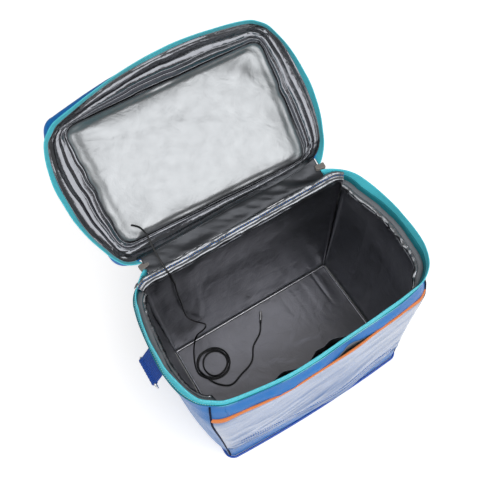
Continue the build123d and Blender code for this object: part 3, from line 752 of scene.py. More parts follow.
def coilRoute(turns, rest):
    # ovals that differ slightly, each starting from the one before; the last lies on the two under it
    points, perTurn, firstAngle = [], 13, 215.0
    for k, turn in enumerate(turns):
        for i in range(perTurn):
            angle = math.radians(firstAngle + 360 * i / perTurn)
            tilt = math.radians(turn["tilt"])
            share = min(1.0, i / 3) if k else 1.0
            pair = (turns[max(k - 1, 0)], turn)
            before, now = ((*part["centre"], part["across"], part["lift"]) for part in pair)
            x, y, across, lift = (a + (b - a) * share for a, b in zip(before, now))
            reach = across * (1 - (1 - turn["squash"]) * math.sin(angle - tilt) ** 2)
            points.append((x + reach * math.cos(angle), y + reach * math.sin(angle), rest + lift))
    return points


def nurbsLine(name, points):
    # reads the smooth line that a curve with these control points makes
    curve = bpy.data.curves.new(name, "CURVE")
    curve.dimensions = "3D"
    curve.resolution_u = 8
    spline = curve.splines.new("NURBS")
    spline.points.add(len(points) - 1)
    for slot, p in zip(spline.points, points):
        slot.co = (*p, 1)
    spline.order_u = 3
    spline.use_endpoint_u = True
    holder = bpy.data.objects.new(name, curve)
    line = bpy.data.meshes.new_from_object(holder)
    found = np.array([v.co for v in line.vertices])
    bpy.data.objects.remove(holder)
    bpy.data.meshes.remove(line)
    bpy.data.curves.remove(curve)
    return found


def makeCable():
    gland = np.array(cable["gland"])
    start = [tuple(openLid(gland)), tuple(openLid(gland - (0, 0, cable["lead"])))]
    turns = coilRoute(coilTurns, cable["rest"] / mm)
    rest = [tuple(c * mm for c in p) for p in upperRoute + turns + lowerRoute]
    line = nurbsLine("cableLine", start + rest)
    data = tubeMesh("sensorCable", line, cable["thickness"] / 2, cable["sides"])
    nodes = ("sensor_cable_upper", "sensor_cable_hank", "sensor_cable_lower")
    thing = piece("sensorCable", data, None, "cable_jacket", "cableJacket", *nodes)
    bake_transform(thing)
    print("cable length", round(float(runAlong(line)[-1]), 4))
    finish(cadNodes["probe_sleeve"], "cableJacket")
    finish(cadNodes["probe_tip"], "drawnSteel")


makeCable()
print("cable ready")


# body shell
bodyWall = makeWall(bodyPattern, rimPattern, 0.0, heights["rim"], ringCuts, rimSag)
shell = {
    "thickness": 0.0012, "topZ": 0.2935, "leftBelly": 0.014, "backBelly": 0.005, "footSwell": 0.004,
    "mouthZ": 0.268,
    "mouthOff": (
        (7, 0.5), (7.8, 1.5), (8.05, 4), (8.2, 6.6), (8.5, 6.2), (8.62, 7.2), (8.78, 4.6), (8.95, 2.5),
        (9.2, 1), (10, 0.5),
    ),
    "gapeX": 0.034, "cornerSwell": 0.0042, "wrinkle": 0.0009, "bandWrinkle": 0.0022,
    "footTuck": ((0.0, -0.0022), (0.0006, -0.0007)),
    "topTuck": ((-0.0010, 0.2925), (-0.0016, 0.2890), (-0.0022, 0.2860), (-0.0060, 0.2850)),
}


def shellOff(wall, z, swell=1.0):
    # how far the soft shell stands off its flat pattern; swell 0 leaves out the gape under the front rim
    edges, x = wall["edges"], wall["high"][:, 0]
    front = hump(edges, 0, 0.6)
    off = shell["leftBelly"] * hump(edges, 6, 0.5) * bell(z, 0.07, 0.115) * smoothStep(z, -0.02, 0.03)
    off = off + shell["backBelly"] * hump(edges, 4) * bell(z, 0.12, 0.10)
    foot = bell(x, 0.02, 0.09) * bell(z, 0.03, 0.03) * smoothStep(z, -0.01, 0.02)
    off = off + shell["footSwell"] * front * foot
    unrolled = unrolledFrom(5, edges)
    closed = 1 - 0.95 * bell(x, shell["gapeX"], 0.026) * swell
    mouth = along(unrolled, shell["mouthOff"]) * plateau(unrolled, 7.5, 8.0, 9.0, 9.5)
    off = off + swell * closed * mouth * bell(z, shell["mouthZ"], 0.017)
    corner = shell["cornerSwell"] * (bell(unrolled, 7.5, 0.55) + bell(unrolled, 9.5, 0.55))
    off = off + corner * bell(z, 0.245, 0.085)
    points = wallPoints(wall, np.broadcast_to(z, (len(z), len(x))))
    folds = layeredNoise(points, (0.07, 0.07, 0.05), 11) + 0.6 * creaseNoise(points, (0.09, 0.09, 0.03), 17)
    fade = smoothStep(seamDistance(edges), 0.02, 0.4) * plateau(z, 0.0, 0.02, 0.25, 0.288)
    band = creaseNoise(points, (0.035, 0.035, 0.012), 19) * bell(z, 0.272, 0.012)
    off = off + swell * shell["bandWrinkle"] * front * band
    return off * (1 - smoothStep(z, 0.276, 0.2915)) + shell["wrinkle"] * folds * fade


def makeShell():
    footZ, footOff = np.array(shell["footTuck"]).T
    z = np.concatenate([footZ, [0.0025], np.linspace(0.006, shell["topZ"], 60)])[:, None]
    curl = np.zeros_like(z)
    curl[: len(footOff), 0] = footOff
    rows = wallPoints(bodyWall, z, shellOff(bodyWall, z) + curl)
    rows = np.concatenate([rows, profilePoints(bodyWall, shell["topTuck"])])
    nodes = ("shell_front", "shell_back", "shell_left", "shell_right")
    data = sheetMesh("outerShell", rows, shell["thickness"], closed=True)
    thing = piece("outerShell", data, "body", "shell_cloth", "coatedBlueCloth", *nodes)


makeShell()


# front pocket with its binding and stitching
pocket = {
    "bottomZ": 0.052, "lowRise": 0.014, "topZ": 0.2685, "endDrop": 0.008, "thickness": 0.001,
    "belly": 0.0095, "bellyX": 0.03, "leftBelly": 0.003, "leftBellyX": -0.075, "wrinkle": 0.0009,
    "stitchDip": 0.0007, "stitchRise": (0.014, 0.026),
    "under": ((0.003, 0.2), (0.0006, 0.4), (-0.0006, 0.85)),
    "binding": (
        (0.0008, -0.0066), (0.0013, -0.004), (0.0014, -0.0012), (0.001, 0.0004), (0, 0.0009),
        (-0.0012, 0.0006), (-0.0017, -0.0008), (-0.0017, -0.0045),
    ),
}
pocketWall = wallPart(bodyWall, 7.5, 9.5)


def pocketRows(v):
    # v is 0 at the folded lower edge and 1 at the mouth
    x = pocketWall["high"][:, 0]
    topZ = pocket["topZ"] - pocket["endDrop"] * smoothStep(np.abs(x), 0.12, 0.165)
    lowZ = pocket["bottomZ"] + pocket["lowRise"] * smoothStep(-x, 0.02, 0.15)
    z = lowZ + (topZ - lowZ) * v
    fade = smoothStep(seamDistance(pocketWall["edges"]), 0.03, 0.5)
    body = shellOff(pocketWall, z, 0)
    mouth = along(pocketWall["edges"], shell["mouthOff"]) * v**1.5
    belly = pocket["belly"] * bell(x, pocket["bellyX"], 0.062) * bell(z, 0.05, 0.06)
    belly = belly + pocket["leftBelly"] * bell(x, pocket["leftBellyX"], 0.06) * bell(z, 0.12, 0.06)
    slantTurn = np.array([[0.94, -0.34], [0.34, 0.94]])
    turned = joined(x, z) @ slantTurn
    creases = creaseNoise(turned, (0.14, 0.022), 23) * 0.5 + layeredNoise(turned, (0.10, 0.03), 29)
    low = 1 - smoothStep(v, 0.1, 0.75)
    wrinkle = pocket["wrinkle"] * creases * (0.35 + low)
    dips = pocket["stitchDip"] * sum(bell(z, lowZ + rise, 0.0011) for rise in pocket["stitchRise"])
    edge = 0.0008 * bell(z, lowZ + 0.002, 0.003)
    off = 0.0012 + np.maximum(body, 0) * 0.75 + mouth + fade * (belly + wrinkle + edge - dips)
    return z, off


def makePocket():
    v = np.concatenate([np.linspace(0, 0.12, 26)[:-1], np.linspace(0.12, 1, 84)])[:, None]
    z, off = pocketRows(v)
    rows = wallPoints(pocketWall, z, off)
    # first the rows that are turned under at the lower fold, then the panel
    underZ, underShare = np.array(pocket["under"]).T[..., None]
    under = wallPoints(pocketWall, z[:1] + underZ, off[:1] * underShare + 0.0003)
    rows = np.concatenate([under, rows])
    data = sheetMesh("pocketPanel", rows, pocket["thickness"])
    # the pocket takes the darker copy of the blue cloth, painted shade
    panel = piece("pocketPanel", data, "body", "shell_cloth", "pocketClothPaintedShade", "pocket_panel")
    bindOff, bindZ = np.array(pocket["binding"]).T[..., None]
    bindOff = pocketRows(np.minimum(1 + bindZ / (z[-1] - z[0]), 1))[1] + bindOff
    rows = wallPoints(pocketWall, z[-1] + bindZ, bindOff)
    data = sheetMesh("pocketBinding", rows, 0.0005)
    binding = piece("pocketBinding", data, "body", "orange_binding", "orangeBinding", "pocket_binding")
    for k, rise in enumerate(pocket["stitchRise"]):
        z, off = pocketRows(np.array([[rise / (pocket["topZ"] - pocket["bottomZ"])]]))
        line = wallPoints(pocketWall, z, off + 0.0002)[0][14:-14]
        name = f"pocketStitches{k}"
        piece(name, stitchMesh(name, line, (0, -1, 0), "pocket"), "body", "shell_cloth", "blueThread")


# sizes of the grey sheet behind the pocket mouth, painted reflection
pocketMouthReflection = {
    "edges": (8.44, 8.78), "lowZ": 0.20, "height": 0.058, "rise": 0.0175, "riseWidth": 0.032,
    "off": 0.0006, "thickness": 0.0004,
}


def makePocketMouthReflection():
    # a grey sheet behind the gaping pocket mouth, a painted reflection of the grey reflected in the blue
    # cloth there; its upper edge rises in the middle of the gap
    wall = wallPart(bodyWall, *pocketMouthReflection["edges"])
    rise = pocketMouthReflection["rise"] * bell(wall["high"][:, 0], shell["gapeX"], pocketMouthReflection["riseWidth"])
    z = pocketMouthReflection["lowZ"] + (pocketMouthReflection["height"] + rise) * levels(0, 1, 20)
    rows = wallPoints(wall, z, shellOff(wall, z) + pocketMouthReflection["off"])
    sheetPiece("pocketMouthPaintedReflection", rows, pocketMouthReflection["thickness"], "body", "grey_cloth", "pocketMouthPaintedReflection")


makePocket()
makePocketMouthReflection()
print("shell and pocket ready")


# zip: tape, coil and stitching, on the body and on the lid
zipTape = {"thickness": 0.0008, "edges": (5.03, 11.97), "rows": 9, "loopPitch": 0.0019, "loopRadius": 0.0006}
bodyTape = {
    "lowZ": 0.2905, "highZ": 0.3045, "end": (0.1445, 0.1195, 0.3042),
    "low": ((5, 0.3), (12, 0.3)),
    "high": (
        (5, 0), (5.3, -3), (5.6, -4), (5.9, -6), (6.2, -5.8), (6.4, -5.4), (6.62, -7.2), (6.9, -7.8),
        (7.2, -4.2), (7.5, -3.8), (7.9, -3.7), (8.05, -2.8), (8.3, -1.9), (8.5, -1.8), (8.7, -1.2),
        (8.9, -2), (9.1, 0.6), (9.4, 2.6), (9.7, 2), (10, 1.6), (10.14, 4.4), (10.29, 4.8), (10.5, 3.5),
        (10.7, 5), (11, 7.6), (11.3, 4), (11.6, 2.4), (12, 3.2),
    ),
}
lidTape = {
    "lowZ": 0.3185, "highZ": 0.3055, "end": (0.1465, 0.1245, 0.3065),
    "low": (
        (5, -1), (5.3, -1.7), (5.6, -6.3), (5.9, -8), (6.19, -4.9), (6.5, -4.9), (6.83, -4.1), (7, -6.2),
        (7.3, -10.6), (7.7, -11.6), (8, -10), (8.15, -6.6), (8.32, -3.5), (8.5, -2.7), (8.7, -2),
        (8.85, -3.3), (9, -5.6), (9.25, -7.9), (9.6, -7.6), (10, -5.8), (10.14, -4.4), (10.3, -6.2),
        (10.5, -8.6), (10.8, -9.8), (11.1, -10.6), (11.4, -10.4), (11.7, -8), (12, -3),
    ),
    "high": (
        (5, 3), (5.3, 2), (5.6, -2.6), (5.9, -4), (6.19, -0.9), (6.4, 1.5), (6.65, 2.8), (6.83, 2.4),
        (7, -1.4), (7.3, -5.3), (7.7, -6.4), (8, -6), (8.15, -3.8), (8.32, -1), (8.5, 1.7), (8.65, 1.7),
        (8.8, -0.1), (9, -3.7), (9.25, -7), (9.6, -7.6), (10, -7.2), (10.14, -5), (10.3, -4.8),
        (10.6, -5.4), (10.86, -7.8), (11.15, -10.4), (11.4, -8.6), (11.65, -4.8), (12, 3),
    ),
}
lidWall = makeWall(lidPattern, lidTopPattern, heights["rim"], heights["lidTop"], ringCuts)
lidStraight = makeWall(lidPattern, lidPattern, heights["rim"], heights["lidTop"], ringCuts)


def tapeGrid(wall, tape):
    # rows of the tape from its sewn edge to its coil, and how much each point goes along with a drawn end
    part = wallPart(wall, *zipTape["edges"])
    edges = part["edges"]
    v = levels(0, 1, zipTape["rows"])
    z = tape["lowZ"] + (tape["highZ"] - tape["lowZ"]) * v
    low, high = (eased(along(edges, tape[end]), easeColumns, closed=False) for end in ("low", "high"))
    off = low * (1 - v) + high * v
    run = np.cumsum(np.ones(len(edges))) * 0.0024
    off = off + 0.0005 * softNoise(joined(run, v * 0.02), (0.03, 0.03), 41)
    rows = wallPoints(part, z, off)
    ends = 1 - smoothStep(edges, 5.0, 5.5) + smoothStep(edges, 11.5, 12.0)
    return rows, edges, (ends * (0.3 + 0.7 * v))[..., None]


def zipLine(name, rows, toOpen):
    # tape, coil loops along its free edge and the white thread along its sewn edge
    rows = rows[:, ::-1] if toOpen else rows
    place = openLid if toOpen else np.asarray
    body = "lid" if toOpen else "body"
    lift = gridNormals(rows, False)
    tape = sheetMesh(f"{name}Tape", place(rows), zipTape["thickness"])
    strip = piece(f"{name}Tape", tape, body, "zip_tape", "tealZipTape", f"{body}_zip_tape")
    edge, below, out = resample(rows[-1], zipTape["loopPitch"], rows[-3], lift[-1])
    below = edge + (below - edge) * 0.7
    starts, ends = edge - out * 0.0005, below + out * 0.0001
    up = place(edge + out) - place(edge)
    loops = threadMesh(f"{name}Coil", place(starts), place(ends), up, zipTape["loopRadius"])
    piece(f"{name}Coil", loops, body, "zip_coil", "tealZipCoil", f"{body}_zip_coil")
    sewn = rows[2] + lift[2] * 0.0003
    stitches = stitchMesh(f"{name}Stitches", place(sewn), (0, 0, 1), "zip")
    piece(f"{name}Stitches", stitches, body, "zip_tape", "whiteThread")
    return strip


def drawEnds(wall, tape, toPattern):
    # the tape with each end drawn to its slider
    rows, edges, pull = tapeGrid(wall, tape)
    endX, endY, endZ = tape["end"]
    for sign, share in ((-1, edges < 8), (1, edges >= 8)):
        goal = toPattern[:3, :3] @ np.array([sign * endX, endY, endZ]) + toPattern[:3, 3]
        anchor = rows[-1, 0] if sign < 0 else rows[-1, -1]
        rows = rows + (goal - anchor) * pull * share[None, :, None]
    return rows


def makeZips():
    strip = zipLine("bodyZip", drawEnds(bodyWall, bodyTape, np.eye(4)), False)
    strip = zipLine("lidZip", drawEnds(lidStraight, lidTape, np.array(openMatrix.inverted())), True)


makeZips()
print("zip ready")


# rim: grey facing, the hem in a brighter copy of the foil as painted highlight, and the fold over the back
# wall
facingProfile = [
    (-0.0027, 0.287), (-0.0033, 0.2897), (-0.005, 0.2908), (-0.0082, 0.2912), (-0.0102, 0.2909),
    (-0.0114, 0.2898), (-0.0118, 0.287),
]
# cross-section of the deep teal strip over the rim groove, painted shade
paintedShadeSeamProfile = [
    (0.0005, 0.2954), (-0.0004, 0.295), (-0.0014, 0.2937), (-0.0019, 0.2905), (-0.003, 0.2874),
    (-0.0046, 0.2868),
]
hemProfile = [
    (-0.0108, 0.2885), (-0.0116, 0.2903), (-0.013, 0.2909), (-0.0145, 0.2903), (-0.0158, 0.2888),
    (-0.0167, 0.2866), (-0.017, 0.2838), (-0.0163, 0.281),
]
backProfile = [
    (0.001, 0.299), (0.0012, 0.302), (0.0004, 0.3037), (-0.0012, 0.3044), (-0.003, 0.3044),
    (-0.0042, 0.3038), (-0.0049, 0.3033), (-0.0058, 0.3036), (-0.0072, 0.304), (-0.0084, 0.3037),
    (-0.0093, 0.3031), (-0.0101, 0.3029), (-0.011, 0.3031), (-0.0124, 0.3031), (-0.0136, 0.3022),
    (-0.0142, 0.3002), (-0.014, 0.2965), (-0.0128, 0.294),
]


def smoothProfile(profile, count):
    # more points along a cross-section, evenly spaced
    run = runAlong(np.array(profile))
    at = np.linspace(0, run[-1], count)
    return np.column_stack([np.interp(at, run, part) for part in np.array(profile).T])


def fineWall(first, last, times):
    # the same wall with more columns, for small crinkles
    cuts = tuple(c * times for c in ringCuts)
    return wallPart(makeWall(bodyPattern, rimPattern, 0.0, heights["rim"], cuts, rimSag), first, last)


def frontShare(edges):
    # 1 along the front, where the facing is pressed down and back against the wall
    return plateau(edges, 7.35, 8.1, 8.95, 9.7)


def pressDown(part, profile, drop):
    # a cross-section that is narrower and lower along the front
    narrowing = 0.42
    off, z = profile.T[..., None]
    share = frontShare(part["edges"])
    return wallPoints(part, z - drop * share, off * (1 - narrowing * share))


facingCut = {"edges": (5.45, 11.55), "drop": 0.004, "thickness": 0.0007, "paintedShadeSeamThickness": 0.0004}
rimHem = {
    "edges": (5.47, 11.53), "thickness": 0.0004, "drop": 0.016, "toothWidth": 0.0105,
    "toothDrop": 0.0045, "crush": 0.0016,
    "lively": (
        (5.5, 700), (6, 900), (6.4, 500), (7.2, 400), (8, 200), (9, 200), (9.9, 350), (10.25, 1500),
        (10.6, 1500), (10.8, 400), (11.3, 500),
    ),
}


def makeFacing():
    # grey facing inside the zip, and a deep teal strip over the seam groove, coloured as painted shade of the
    # tape's inner fold and the groove
    part = wallPart(bodyWall, *facingCut["edges"])
    rows = pressDown(part, smoothProfile(facingProfile, 14), facingCut["drop"])
    rough = 0.4 + 1.6 * hump(part["edges"], 6, 0.7) + 0.6 * hump(part["edges"], 2, 0.7)
    rows = rows + (rough * layeredNoise(rows, (0.03, 0.02, 0.03), 51))[..., None] * (0.0005, 0.0003, 0.0008)
    data = sheetMesh("rimFacing", rows, facingCut["thickness"])
    facing = piece("rimFacing", data, "body", "grey_cloth", "greyFacing", "rim_binding")
    rows = profilePoints(part, smoothProfile(paintedShadeSeamProfile, 10))
    sheetPiece("rimSeamPaintedShade", rows, facingCut["paintedShadeSeamThickness"], "body", "zip_tape", "tealSeamPaintedShade")
    return facing


def makeHem():
    # the hem, in a brighter copy of the foil as painted highlight, hangs in small teeth; lively is their
    # share of the full drop in thousandths
    part = fineWall(*rimHem["edges"], 4)
    rows = pressDown(part, smoothProfile(hemProfile, 16), rimHem["drop"])
    run = runAlong(rows[0])
    v = levels(0, 1, 16)
    flat = joined(run, v * 0.012)
    lively = along(part["edges"], rimHem["lively"])
    wander = 0.6 * softNoise(flat[:1], (0.03, 0.01), 53)[0]
    teeth = np.abs(((run / rimHem["toothWidth"] + wander) % 1) - 0.5) * 2
    teeth = teeth * np.clip(0.7 + 0.8 * softNoise(flat[:1], (0.025, 0.01), 54)[0], 0.1, 1.4)
    drop = -rimHem["toothDrop"] * (teeth - 0.4) * lively * v**1.2
    crush = (crumple(flat, (0.013, 0.006), 55) - 0.4) * rimHem["crush"] * np.maximum(lively, 0.5)
    way = joined(part["highWay"][:, 0], part["highWay"][:, 1], 0.0)
    rows = rows + joined(0.0, 0.0, drop) - way * crush[..., None]
    rows[..., 2] += crush * 0.8
    return sheetPiece("rimHem", rows, rimHem["thickness"], "body", "foil", "hemFoilPaintedHighlight")


def makeRim():
    facing, hem = makeFacing(), makeHem()


backFold = {
    "overlapX": -0.0075, "overlapRise": 0.0008, "stitchRow": 0.44, "stitchDip": 0.0005,
    "outerCrush": 0.0016, "innerCrush": 0.0011, "wander": 0.0011, "rows": 42,
}


def makeBackFold():
    # foil folded over the back wall: crushed outside, slantwise creases inside, two lengths that overlap
    part = fineWall(3.5, 5.5, 3)
    rows = profilePoints(part, smoothProfile(backProfile, backFold["rows"]))
    x = part["high"][:, 0]
    v = levels(0, 1, backFold["rows"])
    flat = joined(x, v * 0.02)
    slant = flat @ np.array([[1, 0.2], [-1.6, 1]])
    overlapX = backFold["overlapX"]
    rise = backFold["overlapRise"] * smoothStep(x, overlapX - 0.0004, overlapX + 0.0004) * bell(v, 0.78, 0.25)
    rise = rise + (crumple(flat, (0.007, 0.005), 61) - 0.4) * backFold["outerCrush"] * bell(v, 0.22, 0.18)
    rise = rise + (crumple(slant, (0.022, 0.009), 63) - 0.4) * backFold["innerCrush"] * bell(v, 0.74, 0.25)
    rise = rise + backFold["wander"] * layeredNoise(slant, (0.05, 0.008), 65)
    rise = rise - backFold["stitchDip"] * bell(v, backFold["stitchRow"], 0.02)
    rows = rows + gridNormals(rows, False) * rise[..., None]
    fold = sheetPiece("backRimFold", rows, 0.0006, "body", "foil", "foldFoil", "back_rim_fold")
    number = int(backFold["stitchRow"] * (backFold["rows"] - 1))
    line = rows[number] + gridNormals(rows, False)[number] * 0.0005
    stitches = stitchMesh("backFoldStitches", line, (0, 0, 1), "backFold")
    thread = piece("backFoldStitches", stitches, "body", "foil", "blueThread")


makeRim()
makeBackFold()
print("rim ready")


# insulation and lining
lining = {
    "thickness": 0.0008, "inset": -0.0092, "lowZ": 0.0118, "topZ": 0.287, "frontDrop": 0.014,
    "topPush": -0.0068, "backZ": 0.2965, "backPush": -0.0042, "fold": 0.0011, "crease": 0.0008,
    "seamDip": 0.0009,
    "frontLumps": ((0.0075, 0.016, 0.015), (0.006, -0.008, 0.010), (0.006, -0.062, 0.014)),
}


def cornerTuck(edges, z):
    # the lining is drawn into the upright corners
    near = seamDistance(edges)
    angle = np.pi / 4 * (1 - np.clip(near / 0.5, 0, 1))
    radius = 0.003 + 0.028 * z / heights["rim"]
    return 0.45 * radius * (1 / np.cos(angle) - 1) + 0.001 * bell(near, 0, 0.05)


def liningRows(first, last, topZ, push, seed):
    # push is how far the top goes inwards; along the front it goes in lumps
    part = wallPart(bodyWall, first, last)
    front, near, x = frontShare(part["edges"]), seamDistance(part["edges"]), part["high"][:, 0]
    topZ = topZ - lining["frontDrop"] * front
    z = lining["lowZ"] + (topZ - lining["lowZ"]) * levels(0, 1, 70)
    points = wallPoints(part, z, lining["inset"])
    fade = smoothStep(near, 0.05, 0.5) * smoothStep(z, 0.013, 0.04)
    folds = lining["fold"] * layeredNoise(points, (0.05, 0.05, 0.13), seed)
    folds = folds + lining["crease"] * creaseNoise(points, (0.06, 0.06, 0.2), seed + 5)
    lumps = sum(size * bell(x, middle, width) for size, middle, width in lining["frontLumps"])
    push = (push * (1 - front) - lumps * front) * smoothStep(z, topZ - 0.09, topZ - 0.004)
    seam = lining["seamDip"] * np.sin(np.pi * np.clip(near / 0.2, 0, 1))
    off = lining["inset"] + push + cornerTuck(part["edges"], z) - np.abs(folds) * fade - seam
    return wallPoints(part, z, off)


def makeLining():
    walls = (
        ("front", 7.5, 9.5, lining["topZ"], lining["topPush"], 71),
        ("right", 1.5, 3.5, lining["topZ"], lining["topPush"], 73),
        ("back", 3.5, 5.5, lining["backZ"], lining["backPush"], 75),
        ("left", 5.5, 7.5, lining["topZ"], lining["topPush"], 77),
    )
    for side, first, last, topZ, push, seed in walls:
        rows = liningRows(first, last, topZ, push, seed)[:, ::-1]
        name = f"lining{side.title()}"
        thing = sheetPiece(name, rows, lining["thickness"], "body", "foil", "wallFoil", f"lining_{side}")


floorFoil = {
    "halfX": 0.1552, "frontY": -0.0975, "frontBow": 0.005, "backY": 0.0958, "thickness": 0.0007,
    "streak": 0.0016, "dent": 0.0002,
}


def makeFloor():
    # the floor's foil is drawn up in streaks towards the right and the back
    x = np.linspace(-floorFoil["halfX"], floorFoil["halfX"], 190)
    front = floorFoil["frontY"] - floorFoil["frontBow"] * (1 - (x / 0.155) ** 2)
    flat = joined(x, front + (floorFoil["backY"] - front) * levels(0, 1, 110))
    pulled = np.clip((flat[..., 0] - 0.03) / 0.1, 0, 1) * smoothStep(flat[..., 1], -0.02, 0.05)
    streaks = np.abs(softNoise(flat @ np.array([[1, 0.35], [0, 1]]), (0.012, 0.11), 81)) * floorFoil["streak"]
    dents = np.abs(layeredNoise(flat, (0.06, 0.05), 83)) * floorFoil["dent"]
    z = heights["floor"] - 0.0002 + streaks * pulled - dents
    rows = np.concatenate([flat, z[..., None]], axis=-1)
    data = sheetMesh("floorLining", rows, floorFoil["thickness"])
    thing = piece("floorLining", data, "body", "foil", "floorFoil", "lining_floor")


foam = {
    "lowZ": 0.003, "topZ": 0.2855, "outer": -0.0022, "depth": 0.0062, "leastDepth": 0.0008,
    "bandZ": (0.3368, 0.3435), "bandOuter": -0.0018, "bandDepth": 0.0035,
}


def makeFoam():
    edges = bodyWall["edges"]
    topZ = foam["topZ"] - lining["frontDrop"] * frontShare(unrolledFrom(5, edges))
    z = foam["lowZ"] + (topZ - foam["lowZ"]) * levels(0, 1, 12)
    rows = wallPoints(bodyWall, z, foam["outer"])
    depth = np.maximum(foam["depth"] - cornerTuck(edges, z), foam["leastDepth"])[..., None]
    nodes = ("foam_front", "foam_back", "foam_left", "foam_right")
    wall = sheetPiece("wallFoam", rows, depth, "body", "foam", "foamSheet", *nodes, closed=True)
    rows = openLid(wallPoints(lidWall, levels(*foam["bandZ"], 6), foam["bandOuter"]))
    data = sheetMesh("lidBandFoam", rows, foam["bandDepth"], closed=True)
    band = piece("lidBandFoam", data, "lid", "foam", "foamSheet", "lid_band_foam")
    for name in ("foam_base", "lid_foam"):
        finish(cadNodes[name], "foamSheet")


makeLining()
makeFloor()
makeFoam()
print("lining ready")


# lid: shell, foil gusset and panel
lidShell = {
    "thickness": 0.0011, "lowZ": 0.3173, "hingeDrop": 0.0081, "sideZ": 0.3415,
    "turn": ((-0.0003, 0.3440), (-0.0016, 0.3458), (-0.0036, 0.3467), (-0.0060, 0.3470)),
    "puff": 0.0012,
    "leftPuffs": ((0.0105, 7.8, 0.62), (0.0065, 5.6, 0.45)),
    "wrinkle": 0.0006, "topDent": 0.0009,
}
lidPanel = {
    "corners": (
        (-0.15, -0.094, 0.3345), (0.164, -0.08, 0.332), (0.146, 0.106, 0.334), (-0.155, 0.088, 0.3355),
    ),
    "round": 0.02, "rimZ": 0.3165, "hingeDrop": 0.0099, "thickness": 0.0006, "wiggle": 0.0016,
    "edgeSwell": 0.0035, "middleSwell": 0.0045, "edgeRoll": 0.0015, "soft": 0.0010,
    "leftFan": 0.0006, "rightFan": 0.0009, "cableFold": 0.0013,
    "hollows": ((0.0035, (-0.125, 0.045), (0.03, 0.035)), (0.003, (0.135, -0.05), (0.02, 0.022))),
}
lidGusset = {
    "cornerZ": 0.3335, "thickness": 0.0005, "pleats": 3, "sharpPleat": 0.35, "roundPleat": 0.75,
    "crush": 0.0006, "cornerCrush": 0.0026,
    "depth": (
        (5, 3.5), (6, 3.5), (7, 3), (8, 3), (8.5, 4.5), (9, 3.5), (10, 4), (11, 3), (12, 3.5), (12.5, 4.5),
        (13, 3.5),
    ),
}


def sewnLine(edges):
    # how far the lid's sewn edge stands off the lid's outline, all the way round
    line = along(unrolledFrom(5, edges), lidTape["low"] + ((12.5, 0.0), (13.0, -1.0)))
    return eased(line, easeColumns * len(edges) // sum(ringCuts))


def makeLidShell():
    # the band from the zip up, its turn over the edge and the top, closed in the middle
    edges = lidWall["edges"]
    lowZ = lidShell["lowZ"] - lidShell["hingeDrop"] * plateau(edges, 3.97, 4.03, 4.97, 5.03)
    v = levels(0, 1, 18)
    z = lowZ + (lidShell["sideZ"] - lowZ) * v
    points = wallPoints(lidWall, z)
    share = smoothStep(v, 0.0, 1.15)[..., None]
    band = wallPoints(lidStraight, z, sewnLine(edges) + 0.0006) * (1 - share) + points * share
    unrolled = unrolledFrom(4, edges)
    puffs = [size * bell(unrolled, at, width) for size, at, width in lidShell["leftPuffs"]]
    wrinkle = lidShell["wrinkle"] * layeredNoise(points, (0.05, 0.05, 0.02), 91) * np.sin(np.pi * v)
    off = (lidShell["puff"] + sum(puffs)) * np.sin(np.pi * np.clip(v * 1.15, 0, 1)) ** 0.8 + wrinkle
    band[..., :2] += lidWall["highWay"] * off[..., None]
    turn = profilePoints(lidWall, lidShell["turn"])
    share = np.concatenate([np.linspace(0, 0.98, 34)[1:], [0.996, 0.999, 0.9999]])[:, None, None]
    top = turn[-1][None] * (1 - share) + np.array([0, 0.001, heights["lidTop"]]) * share
    dents = np.abs(layeredNoise(top, (0.07, 0.07, 0.07), 93)) * smoothStep(share[..., 0], 0, 0.2)
    top[..., 2] -= lidShell["topDent"] * dents
    rows = openLid(np.concatenate([band, turn, top]))
    data = sheetMesh("lidShell", rows, lidShell["thickness"], closed=True)
    thing = piece("lidShell", data, "lid", "shell_cloth", "coatedBlueCloth", "lid_band", "lid_top")


def quadLoop(corners, bend, cuts):
    # a four-sided loop with rounded corners, in step with the outline's columns
    corners = np.array(corners)
    points = []
    for k in range(4):
        a, b, c = corners[k], corners[(k + 1) % 4], corners[(k + 2) % 4]
        way, after = (b - a) / np.linalg.norm(b - a), (c - b) / np.linalg.norm(c - b)
        first, last, turned = a + way * bend, b - way * bend, b + after * bend
        for t in np.arange(cuts[2 * k]) / cuts[2 * k]:
            points.append(first + (last - first) * t)
        for t in np.arange(cuts[2 * k + 1]) / cuts[2 * k + 1]:
            points.append(last * (1 - t) ** 2 + b * 2 * t * (1 - t) + turned * t**2)
    return np.array(points)


def panelLoop(edges, cuts):
    # the seam between panel and gusset, its run, its centre and the way inwards from each point
    loop = quadLoop(lidPanel["corners"], lidPanel["round"], cuts)
    run = runAlong(loop)
    centre = loop.mean(axis=0)
    inward = (centre - loop) / np.linalg.norm(centre - loop, axis=1, keepdims=True)
    share = 0.25 + hump(edges, 6) + 0.5 * hump(edges, 2)
    wiggle = lidPanel["wiggle"] * softNoise(joined(run, 0.0), (0.016, 0.01), 101) * share
    return loop + inward * wiggle[:, None], run, centre, inward


